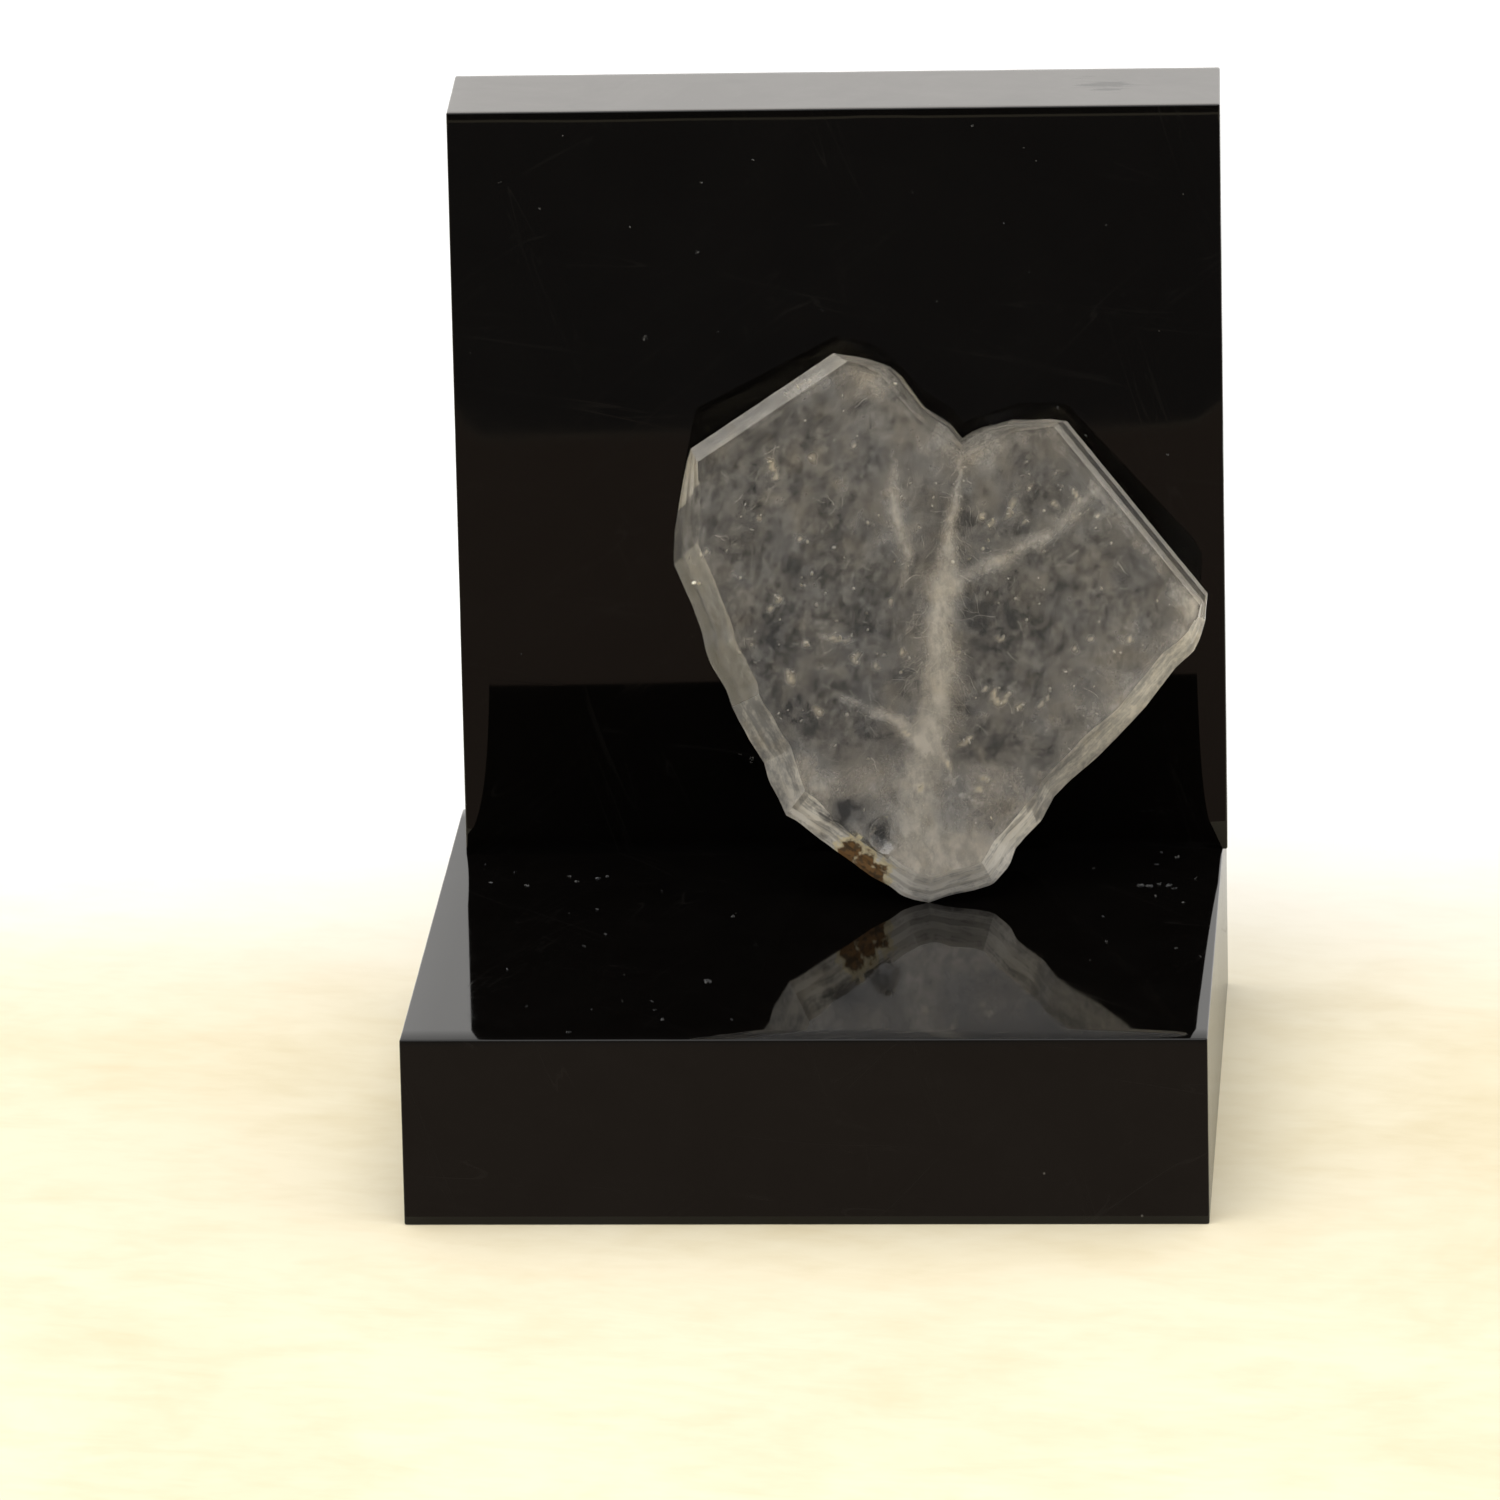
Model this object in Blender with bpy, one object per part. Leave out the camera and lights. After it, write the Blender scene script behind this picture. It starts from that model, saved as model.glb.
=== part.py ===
"""A Japan law twin of quartz that leans on the upright of a black acrylic stand.

Metres, +Z up. The origin is the centre of the base plate's underside, +X is the stand's right
and +Y its back. The specimen is drawn lying flat, in millimetres: x across it, y up it and z
towards its front. Its object's rotation then stands it up and leans it back on the upright.
"""

import math
from dataclasses import dataclass

import bmesh
import bpy
from mathutils import Matrix, Vector

MM = 0.001

# The stand is two squares cut from cast acrylic sheet.
SQUARE = 40.0 * MM
BASE_THICKNESS = 9.64 * MM
BACK_WIDTH = 39.4 * MM
BACK_THICKNESS = 8.2 * MM
STAND_TOP = 49.1 * MM
BACK_FRONT_LEFT = Vector((-19.15 * MM, 11.73 * MM, 0.0))
BACK_YAW = math.radians(1.28)
EDGE_ROUND = 0.3 * MM
TOUCH_GAP = 0.3 * MM
ACRYLIC_COLOR = (0.012, 0.011, 0.010)
ACRYLIC_ROUGHNESS = 0.06

# How the specimen stands: the tip of its foot on the base plate, its top on the upright.
FOOT_ON_BASE = Vector((5.19 * MM, 3.02 * MM, BASE_THICKNESS))
LEAN = math.radians(17.95)
TURN = math.radians(7.7)
QUARTZ_COLOR = (0.86, 0.85, 0.81)
QUARTZ_ROUGHNESS = 0.05
QUARTZ_IOR = 1.544

# The specimen's plane, in millimetres from here on. z is 0 at the tip of the foot.
FRONT_Z = 1.75
THICKNESS = 2.6
TWIN_PLANE = math.radians(10.8)
# Half of the 84.55 degrees between the two crystals' c-axes, which defines the Japan law.
AXIS_TO_TWIN_PLANE = math.radians(42.28)
RIDGE_DEPTH = 0.7
CHISEL_SLOPE = math.radians(38.2)
# Two sides of the outline this close to one line are offset together.
NEARLY_STRAIGHT = math.radians(12)
# In metres: a point this near a cutting plane lies on it.
ON_PLANE = 1e-7


@dataclass(frozen=True)
class Faces:
    """A front and a back face that meet in a ridge, by their slope from the main faces."""

    slope: float

    def inset(self, height: float) -> float:
        """How far in from the ridge they reach a main face at this height from it."""
        return height / math.tan(math.radians(self.slope))


# The chisel ends start as upright walls, which end_in_chisel then cuts to their ridge.
CHISEL = Faces(90.0)
RHOMB = Faces(66.9)
PRISM = Faces(60.0)
BROKEN = Faces(56.0)


@dataclass(frozen=True)
class Corner:
    """A corner of the outline, the ridge's depth there below the front and the faces after it."""

    x: float
    y: float
    depth: float
    faces: Faces

    @property
    def point(self) -> Vector:
        return Vector((self.x, self.y))


def along(heading: float) -> Vector:
    """The direction this many radians clockwise from straight up the specimen."""
    return Vector((math.sin(heading), math.cos(heading)))


def inwards(direction: Vector) -> Vector:
    """The inward side of an edge, as the outline runs clockwise."""
    return Vector((direction.y, -direction.x))


@dataclass(frozen=True)
class Crystal:
    """One of the twins: the ridge of its chisel end runs square to its c-axis."""

    ridge_start: Vector
    ridge_length: float
    axis: float

    @property
    def ridge(self) -> Vector:
        return along(self.axis + math.radians(90))

    @property
    def ridge_end(self) -> Vector:
        return self.ridge_start + self.ridge * self.ridge_length


LEFT = Crystal(Vector((-11.2, 23.6)), 8.8, TWIN_PLANE - AXIS_TO_TWIN_PLANE)
RIGHT = Crystal(Vector((8.1, 24.25)), 11.35, TWIN_PLANE + AXIS_TO_TWIN_PLANE)

OUTLINE = [
    # The left crystal's upper side, its chisel end and its right shoulder.
    Corner(-12.2, 17.8, 2.4, RHOMB),
    Corner(-12.05, 19.6, 2.4, RHOMB),
    Corner(-11.8, 20.9, 2.2, RHOMB),
    Corner(*LEFT.ridge_start, RIDGE_DEPTH, CHISEL),
    Corner(*LEFT.ridge_end, RIDGE_DEPTH, RHOMB),
    Corner(-2.1, 27.95, 1.3, RHOMB),
    Corner(-0.75, 27.5, 1.6, PRISM),
    Corner(-0.25, 27.0, 1.6, PRISM),
    Corner(0.95, 25.3, 1.5, PRISM),
    Corner(2.2, 24.4, 1.5, PRISM),
    # The notch between the twins, then the right crystal's shoulder and chisel end.
    Corner(2.8, 23.65, 1.7, PRISM),
    Corner(3.85, 24.2, 1.8, RHOMB),
    Corner(5.4, 24.5, 1.6, RHOMB),
    Corner(*RIGHT.ridge_start, RIDGE_DEPTH, CHISEL),
    Corner(*RIGHT.ridge_end, RIDGE_DEPTH, RHOMB),
    Corner(14.8, 13.85, 1.3, RHOMB),
    # The right crystal's stepped lower side.
    Corner(14.2, 12.3, 1.8, PRISM),
    Corner(13.25, 11.5, 1.9, PRISM),
    Corner(11.65, 9.6, 1.9, PRISM),
    Corner(9.0, 7.1, 2.0, PRISM),
    Corner(6.7, 5.15, 1.9, PRISM),
    Corner(5.95, 3.9, 1.8, BROKEN),
    # The broken foot, flattened where it stands.
    Corner(4.45, 2.35, FRONT_Z, BROKEN),
    Corner(3.4, 0.85, FRONT_Z, BROKEN),
    Corner(1.3, 0.32, FRONT_Z, BROKEN),
    Corner(-1.2, 0.32, FRONT_Z, BROKEN),
    Corner(-2.0, 0.98, FRONT_Z, BROKEN),
    Corner(-4.5, 2.8, FRONT_Z, BROKEN),
    # The left crystal's stepped lower side.
    Corner(-7.05, 4.75, 2.0, PRISM),
    Corner(-7.4, 5.6, 2.2, PRISM),
    Corner(-8.05, 7.5, 2.3, PRISM),
    Corner(-9.55, 10.4, 2.4, PRISM),
    Corner(-9.8, 11.3, 2.4, PRISM),
    Corner(-10.75, 13.3, 2.4, PRISM),
    Corner(-11.0, 14.5, 2.4, PRISM),
]


@dataclass(frozen=True)
class Step:
    """A growth step: the front face is this much lower between it and a chisel ridge."""

    crystal: Crystal
    inset: float
    drop: float


STEPS = [Step(LEFT, 1.65, 0.1), Step(RIGHT, 1.45, 0.1), Step(RIGHT, 0.45, 0.55)]
STEP_OVERRUN = 1.5


@dataclass(frozen=True)
class Scoop:
    """A shell-shaped break in the foot: the hollow left by a ball, on the front or the back."""

    x: float
    y: float
    z: float
    radius: float


SCOOPS = [
    Scoop(-3.9, 4.7, FRONT_Z + 1.15, 1.5),
    Scoop(-2.3, 3.3, FRONT_Z + 0.8, 1.2),
    Scoop(2.6, 1.4, FRONT_Z + 0.9, 1.8),
    Scoop(-5.3, 3.4, FRONT_Z - THICKNESS - 0.8, 1.5),
    Scoop(3.9, 2.6, FRONT_Z - THICKNESS - 0.9, 1.7),
]


def material(name: str, color: tuple, roughness: float, **inputs: float) -> bpy.types.Material:
    """A Principled material; inputs names more of its sockets, with underscores for spaces."""
    made = bpy.data.materials.new(name)
    made.use_nodes = True
    made.diffuse_color = (*color, 1.0)
    shader = made.node_tree.nodes["Principled BSDF"]
    shader.inputs["Base Color"].default_value = (*color, 1.0)
    shader.inputs["Roughness"].default_value = roughness
    shader.inputs["Metallic"].default_value = 0.0
    for socket, value in inputs.items():
        shader.inputs[socket.replace("_", " ")].default_value = value
    return made


def mesh_object(name: str, bm: bmesh.types.BMesh) -> bpy.types.Object:
    """A flat-shaded object that takes over the bmesh, with every face turned outwards."""
    bmesh.ops.recalc_face_normals(bm, faces=bm.faces)
    mesh = bpy.data.meshes.new(name)
    bm.to_mesh(mesh)
    bm.free()
    made = bpy.data.objects.new(name, mesh)
    bpy.context.scene.collection.objects.link(made)
    return made


def plate(name: str, low: Vector, high: Vector) -> bpy.types.Object:
    """A square-cut sheet between two opposite corners, with its edges just broken."""
    bm = bmesh.new()
    bmesh.ops.create_cube(bm, size=1.0)
    for vertex in bm.verts:
        vertex.co = Vector(b if c > 0 else a for c, a, b in zip(vertex.co, low, high))
    made = mesh_object(name, bm)
    bevel = made.modifiers.new("broken edges", "BEVEL")
    bevel.width = EDGE_ROUND
    bevel.segments = 2
    return made


def offset_corner(before: Corner, here: Corner, after: Corner, height: float) -> Vector:
    """Where the faces on both sides of a corner meet the main face this high over the ridge."""
    first = inwards((here.point - before.point).normalized())
    second = inwards((after.point - here.point).normalized())
    a, b = before.faces.inset(height), here.faces.inset(height)
    turn = first.cross(second)
    if abs(turn) < math.sin(NEARLY_STRAIGHT):
        return here.point + (first + second).normalized() * (a + b) / 2
    return here.point + Vector((a * second.y - b * first.y, b * first.x - a * second.x)) / turn


def end_in_chisel(bm: bmesh.types.BMesh, crystal: Crystal) -> None:
    """Cuts the crystal's end wall away by two faces that meet in its ridge."""
    outwards = -inwards(crystal.ridge) * math.sin(CHISEL_SLOPE)
    ridge = Vector((*crystal.ridge_start, FRONT_Z - RIDGE_DEPTH)) * MM
    for side in (1.0, -1.0):
        everything = [*bm.verts, *bm.edges, *bm.faces]
        normal = Vector((*outwards, side * math.cos(CHISEL_SLOPE)))
        bmesh.ops.bisect_plane(
            bm, geom=everything, dist=ON_PLANE, plane_co=ridge, plane_no=normal, clear_outer=True
        )
        bmesh.ops.holes_fill(bm, edges=[edge for edge in bm.edges if edge.is_boundary])


def twin_mesh() -> bmesh.types.BMesh:
    """The two crystals in one: a front and a back main face, joined to the ridge round them."""
    bm = bmesh.new()
    rows = []
    for before, here, after in zip([OUTLINE[-1], *OUTLINE], OUTLINE, [*OUTLINE[1:], OUTLINE[0]]):
        front = offset_corner(before, here, after, here.depth)
        back = offset_corner(before, here, after, THICKNESS - here.depth)
        levels = [(front, FRONT_Z), (here.point, FRONT_Z - here.depth), (back, FRONT_Z - THICKNESS)]
        rows.append([bm.verts.new(Vector((*point, z)) * MM) for point, z in levels])
    for row, following in zip(rows, [*rows[1:], rows[0]]):
        for level in (0, 1):
            bm.faces.new((row[level], following[level], following[level + 1], row[level + 1]))
    bm.faces.new([row[0] for row in rows])
    bm.faces.new([row[2] for row in rows])
    bmesh.ops.recalc_face_normals(bm, faces=bm.faces)
    for crystal in (LEFT, RIGHT):
        end_in_chisel(bm, crystal)
    return bm


def step_mesh(step: Step) -> bmesh.types.BMesh:
    """The bar that is cut away along a chisel ridge to leave the growth step."""
    crystal = step.crystal
    ridge, inner = crystal.ridge, inwards(crystal.ridge)
    bm = bmesh.new()
    bmesh.ops.create_cube(bm, size=1.0)
    for vertex in bm.verts:
        run = crystal.ridge_length + STEP_OVERRUN if vertex.co.x > 0 else -STEP_OVERRUN
        across = step.inset if vertex.co.y > 0 else -STEP_OVERRUN
        up = STEP_OVERRUN if vertex.co.z > 0 else -step.drop
        point = crystal.ridge_start + ridge * run + inner * across
        vertex.co = Vector((*point, FRONT_Z + up)) * MM
    return bm


def scoop_mesh(scoop: Scoop) -> bmesh.types.BMesh:
    """A faceted ball."""
    bm = bmesh.new()
    place = Matrix.Translation(Vector((scoop.x, scoop.y, scoop.z)) * MM)
    bmesh.ops.create_icosphere(bm, subdivisions=3, radius=scoop.radius * MM, matrix=place)
    return bm


def cut(target: bpy.types.Object, name: str, bm: bmesh.types.BMesh) -> None:
    """Cuts the shape from the target, with a Boolean and a hidden cutter."""
    cutter = mesh_object(name, bm)
    cutter.parent = target
    cutter.hide_render = True
    cutter.display_type = "WIRE"
    boolean = target.modifiers.new(name, "BOOLEAN")
    boolean.object = cutter
    boolean.operation = "DIFFERENCE"
    boolean.solver = "EXACT"


def build_stand() -> None:
    """The base plate, and the upright that stands along its back."""
    half = SQUARE / 2
    base = plate("base_plate", Vector((-half, -half, 0.0)), Vector((half, half, BASE_THICKNESS)))
    base.data.materials.append(material("base_acrylic", ACRYLIC_COLOR, ACRYLIC_ROUGHNESS))
    height = STAND_TOP - BASE_THICKNESS - TOUCH_GAP
    back = plate("back_plate", Vector((0.0, 0.0, 0.0)), Vector((BACK_WIDTH, BACK_THICKNESS, height)))
    back.location = BACK_FRONT_LEFT + Vector((0.0, 0.0, BASE_THICKNESS + TOUCH_GAP))
    back.rotation_euler.z = BACK_YAW
    back.data.materials.append(material("back_acrylic", ACRYLIC_COLOR, ACRYLIC_ROUGHNESS))


def build_twin() -> None:
    """The specimen, drawn flat and then leant back on the upright."""
    twin = mesh_object("quartz_twin", twin_mesh())
    twin.location = FOOT_ON_BASE
    twin.rotation_euler = (math.radians(90) - LEAN, 0.0, TURN)
    clear = {"IOR": QUARTZ_IOR, "Transmission_Weight": 1.0}
    twin.data.materials.append(material("quartz", QUARTZ_COLOR, QUARTZ_ROUGHNESS, **clear))
    for number, step in enumerate(STEPS, 1):
        cut(twin, f"growth step {number}", step_mesh(step))
    for number, scoop in enumerate(SCOOPS, 1):
        cut(twin, f"scoop {number}", scoop_mesh(scoop))


for leftover in list(bpy.data.objects):
    bpy.data.objects.remove(leftover)
build_stand()
build_twin()
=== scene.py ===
"""The finished looks of a Japan law twin of quartz on its black acrylic stand.

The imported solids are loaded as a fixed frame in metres: the origin is the centre of the base
plate's underside, +X is the stand's right and +Y its back. The specimen has a millimetre frame
of its own, in which it lies flat: x runs across it, y up it and z towards its front.
"""

import logging
import math
import random
from collections.abc import Callable, Iterator
from dataclasses import dataclass
from enum import Enum
from functools import reduce

import bmesh
import bpy
from bmesh.types import BMFace, BMVert, BMesh
from bpy.types import Material, Mesh, Node, NodeSocket, NodeTree, Object
from mathutils import Euler, Matrix, Vector, geometry, kdtree, noise
from mathutils.bvhtree import BVHTree


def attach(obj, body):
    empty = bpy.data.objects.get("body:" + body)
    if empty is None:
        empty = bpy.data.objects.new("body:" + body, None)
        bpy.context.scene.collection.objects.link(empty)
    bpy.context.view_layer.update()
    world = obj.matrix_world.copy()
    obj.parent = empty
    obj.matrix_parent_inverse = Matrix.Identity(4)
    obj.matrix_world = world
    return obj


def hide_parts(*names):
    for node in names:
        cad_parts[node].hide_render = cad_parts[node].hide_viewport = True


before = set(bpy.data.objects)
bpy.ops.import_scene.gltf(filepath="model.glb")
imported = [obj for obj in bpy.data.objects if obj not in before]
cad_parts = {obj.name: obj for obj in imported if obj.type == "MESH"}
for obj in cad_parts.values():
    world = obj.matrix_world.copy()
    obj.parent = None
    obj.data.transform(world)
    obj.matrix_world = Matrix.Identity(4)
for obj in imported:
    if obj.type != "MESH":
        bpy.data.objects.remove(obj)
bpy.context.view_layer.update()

LOG = logging.getLogger("twin")
ROOT = "root"
MM = 0.001
SEED = 7

# The stand's sizes, as its solids have them.
BASE_TOP = 9.64
SQUARE = 40.0
STAND_TOP = 49.1
BACK_WIDTH = 39.4
BACK_THICKNESS = 8.2
BACK_FRONT_LEFT = (-19.15, 11.73)
BACK_YAW = math.radians(1.28)
CEMENTED = 0.1


# What a sheet has at a point: its share, and its heading as a flat vector.
Look = tuple[float, Vector]
# The points of a grid by (column, row).
Points = dict[tuple[int, int], BMVert]


class Slot(Enum):
    """The record's material slots."""

    ACRYLIC = "black_acrylic"
    QUARTZ = "quartz"


class Faces(Enum):
    """The kinds of side faces of a crystal, by their slope from the main faces in degrees."""

    CHISEL = 90.0
    RHOMB = 66.9
    PRISM = 60.0
    BROKEN = 56.0

    def inset(self, height: float) -> float:
        """How far in from the ridge such a face reaches a main face this high over it."""
        return height / math.tan(math.radians(self.value))


# ---- Shader nodes ----


class Sketch:
    """A node tree that is written as short calls."""

    def __init__(self, tree: NodeTree) -> None:
        """Starts to write into the tree of a material, a world or a group."""
        self.tree = tree

    def feed(self, node: Node, inputs: dict) -> None:
        """Gives a node's inputs, by name or index, their values or sockets.

        Args:
            node: the node.
            inputs: the values and sockets.
        """
        for key, value in inputs.items():
            if isinstance(value, NodeSocket):
                self.tree.links.new(value, node.inputs[key])
            else:
                node.inputs[key].default_value = value

    def add(self, kind: str, inputs: dict | None = None, **settings: object) -> Node:
        """Adds a node.

        Args:
            kind: the node's class name.
            inputs: values or sockets for its inputs, by name or index.
            settings: the node's own settings.

        Returns:
            The new node.
        """
        node = self.tree.nodes.new(kind)
        for name, value in settings.items():
            setattr(node, name, value)
        self.feed(node, inputs or {})
        return node

    def math(self, operation: str, *values: object, clamp: bool = False) -> NodeSocket:
        """A Math node's result.

        Args:
            operation: Blender's name of the operation.
            values: numbers or sockets.
            clamp: whether the result is kept within 0 and 1.

        Returns:
            The result's socket.
        """
        inputs = dict(enumerate(values))
        return self.add("ShaderNodeMath", inputs, operation=operation, use_clamp=clamp).outputs[0]

    def step(self, value: object, start: float, end: float) -> NodeSocket:
        """0 where the value is at start, 1 where it is at end, and smooth between.

        Args:
            value: a number or socket.
            start: where the result is 0.
            end: where it is 1.

        Returns:
            The result's socket.
        """
        inputs = {"Value": value, "From Min": start, "From Max": end}
        kind = "ShaderNodeMapRange"
        return self.add(kind, inputs, interpolation_type="SMOOTHSTEP").outputs["Result"]

    def most(self, values: list, operation: str = "MAXIMUM") -> NodeSocket:
        """The greatest of some numbers, or the least with MINIMUM."""
        return reduce(lambda first, second: self.math(operation, first, second), values)

    def blend(self, factor: object, first: object, second: object) -> NodeSocket:
        """A mix of two numbers by the factor."""
        inputs = {"Factor": factor, "A": first, "B": second}
        return self.add("ShaderNodeMix", inputs, data_type="FLOAT").outputs["Result"]

    def tint(self, factor: object, first: object, second: object) -> NodeSocket:
        """A mix of two colours by the factor.

        Args:
            factor: the second colour's share.
            first: a colour or socket.
            second: the same.

        Returns:
            The colour's socket.
        """
        first, second = ((*c, 1.0) if isinstance(c, tuple) else c for c in (first, second))
        inputs = {0: factor, 6: first, 7: second}
        return self.add("ShaderNodeMix", inputs, data_type="RGBA").outputs[2]

    def noise(self, where: object, scale: float, detail: float, **more: float) -> NodeSocket:
        """A noise texture's value.

        Args:
            where: the coordinates' socket.
            scale: how many features there are to a unit of length.
            detail: how many finer layers it has.
            more: further inputs by name.

        Returns:
            The noise, about 0.5 on average.
        """
        inputs = {"Vector": where, "Scale": scale, "Detail": detail}
        inputs.update({name.capitalize(): value for name, value in more.items()})
        return self.add("ShaderNodeTexNoise", inputs).outputs[0]

    def stretch(self, where: object, scale: tuple, turn: tuple = (0, 0, 0)) -> NodeSocket:
        """The coordinates turned and then scaled, so that a pattern runs one way."""
        turned = self.add("ShaderNodeMapping", {"Vector": where, "Rotation": turn})
        return self.add("ShaderNodeMapping", {"Vector": turned.outputs[0], "Scale": scale}).outputs[0]

    def vector(self, operation: str, first: object, second: object) -> NodeSocket:
        """A Vector Math node's result; SCALE takes a number, and DISTANCE gives one.

        Args:
            operation: Blender's name of the operation.
            first: a vector or socket.
            second: the same, or the number.

        Returns:
            The result's socket.
        """
        inputs = {0: first, "Scale" if operation == "SCALE" else 1: second}
        node = self.add("ShaderNodeVectorMath", inputs, operation=operation)
        return node.outputs["Value" if operation == "DISTANCE" else "Vector"]

    def attribute(self, name: str) -> NodeSocket:
        """The number that the mesh stores under this name."""
        return self.add("ShaderNodeAttribute", attribute_name=name).outputs["Fac"]

    def mask(self, effect: NodeTree, where: object, **values: float) -> NodeSocket:
        """A shared effect's mask at these coordinates, with its other inputs by name.

        Args:
            effect: the effect's node group.
            where: the coordinates' socket.
            values: the other inputs by name.

        Returns:
            The mask's socket.
        """
        inputs = {"Coordinates": where}
        inputs.update({name.capitalize(): value for name, value in values.items()})
        return self.add("ShaderNodeGroup", inputs, node_tree=effect).outputs[0]


class Effects:
    """The effects that several finishes share, each as a node group that is built once."""

    def __init__(self) -> None:
        """Builds the groups."""
        self.hairlines = self._hairlines()
        self.specks = self._specks()
        self.clouds = self._clouds()

    @staticmethod
    def _new(name: str, *numbers: str) -> tuple[Sketch, object]:
        """Starts a group that takes coordinates and numbers and puts out one mask.

        Args:
            name: the group's name.
            numbers: the names of its number inputs.

        Returns:
            The sketch of the group, and the sockets of its inputs.
        """
        tree = bpy.data.node_groups.new(name, "ShaderNodeTree")
        tree.interface.new_socket("Coordinates", in_out="INPUT", socket_type="NodeSocketVector")
        for number in numbers:
            tree.interface.new_socket(number, in_out="INPUT", socket_type="NodeSocketFloat")
        tree.interface.new_socket("Mask", in_out="OUTPUT", socket_type="NodeSocketFloat")
        return Sketch(tree), tree.nodes.new("NodeGroupInput").outputs

    @staticmethod
    def _end(sketch: Sketch, mask: NodeSocket) -> NodeTree:
        """Puts the mask out of the group."""
        sketch.add("NodeGroupOutput", {"Mask": mask})
        return sketch.tree

    def _hairlines(self) -> NodeTree:
        """Fine long scratches that cross each other in a few directions, in broken runs.

        Returns:
            The node group.
        """
        sketch, given = self._new("hairline scratches", "Scale", "Width", "Share")
        x, y, z = sketch.add("ShaderNodeSeparateXYZ", {0: given["Coordinates"]}).outputs
        # This unrolls the level and the upright faces of a block onto one sheet.
        flat = sketch.add("ShaderNodeCombineXYZ", {
            "X": sketch.math("MULTIPLY_ADD", y, 0.6, x), "Y": sketch.math("MULTIPLY_ADD", y, 0.8, z),
        }).outputs[0]
        scale, lines = given["Scale"], []
        for layer, heading in enumerate((8, 71, 142)):
            turned = sketch.add("ShaderNodeMapping", {
                "Vector": flat, "Location": (0, 0, 5.3 * layer), "Rotation": (0, 0, math.radians(heading)),
            }).outputs[0]
            sized = sketch.vector("SCALE", sketch.vector("MULTIPLY", turned, (0.07, 1, 1)), scale)
            ridge = sketch.math("ABSOLUTE", sketch.math("SUBTRACT", sketch.noise(sized, 1.0, 1.0), 0.5))
            line = sketch.step(sketch.math("DIVIDE", ridge, given["Width"]), 1.0, 0.2)
            runs = sketch.noise(sketch.stretch(turned, (0.05, 0.5, 1.0)), 1.0, 2.0)
            least = sketch.math("SUBTRACT", 1.0, given["Share"])
            kept = sketch.step(sketch.math("SUBTRACT", runs, least), 0.0, 0.12)
            lines.append(sketch.math("MULTIPLY", line, kept))
        return self._end(sketch, sketch.most(lines))

    def _specks(self) -> NodeTree:
        """Single grains of dust of uneven size.

        Returns:
            The node group.
        """
        sketch, given = self._new("dust specks", "Scale", "Size", "Share")
        where = given["Coordinates"]
        inputs = {"Vector": where, "Scale": given["Scale"]}
        cells = sketch.add("ShaderNodeTexVoronoi", inputs, feature="F1")
        chance = sketch.add("ShaderNodeSeparateColor", {0: cells.outputs["Color"]})
        kept = sketch.math("GREATER_THAN", given["Share"], chance.outputs[0])
        size = sketch.math("MULTIPLY", given["Size"], chance.outputs[1])
        dot = sketch.step(sketch.math("DIVIDE", cells.outputs["Distance"], size), 1.0, 0.4)
        return self._end(sketch, sketch.math("MULTIPLY", dot, kept))

    def _clouds(self) -> NodeTree:
        """Soft mottling in two sizes.

        Returns:
            The node group.
        """
        sketch, given = self._new("soft mottling", "Scale", "Low", "High")
        where, scale = given["Coordinates"], given["Scale"]
        large = sketch.noise(where, scale, 5.0, roughness=0.62, distortion=0.7)
        finer = sketch.math("MULTIPLY", scale, 3.7)
        small = sketch.noise(where, finer, 3.0, roughness=0.5, distortion=0.3)
        both = sketch.blend(0.3, large, small)
        inputs = {"Value": both, "From Min": given["Low"], "From Max": given["High"]}
        return self._end(sketch, sketch.add("ShaderNodeMapRange", inputs).outputs["Result"])


def new_material(name: str) -> tuple[Material, Sketch, Node]:
    """Starts a material with a Principled shader.

    Args:
        name: the material's name.

    Returns:
        The material, the sketch of its nodes and its Principled node.
    """
    material = bpy.data.materials.new(name)
    material.use_nodes = True
    sketch = Sketch(material.node_tree)
    return material, sketch, material.node_tree.nodes["Principled BSDF"]


def in_millimetres(sketch: Sketch) -> NodeSocket:
    """The piece's own coordinates in millimetres."""
    own = sketch.add("ShaderNodeTexCoord").outputs["Object"]
    return sketch.stretch(own, (1 / MM,) * 3)


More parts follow.
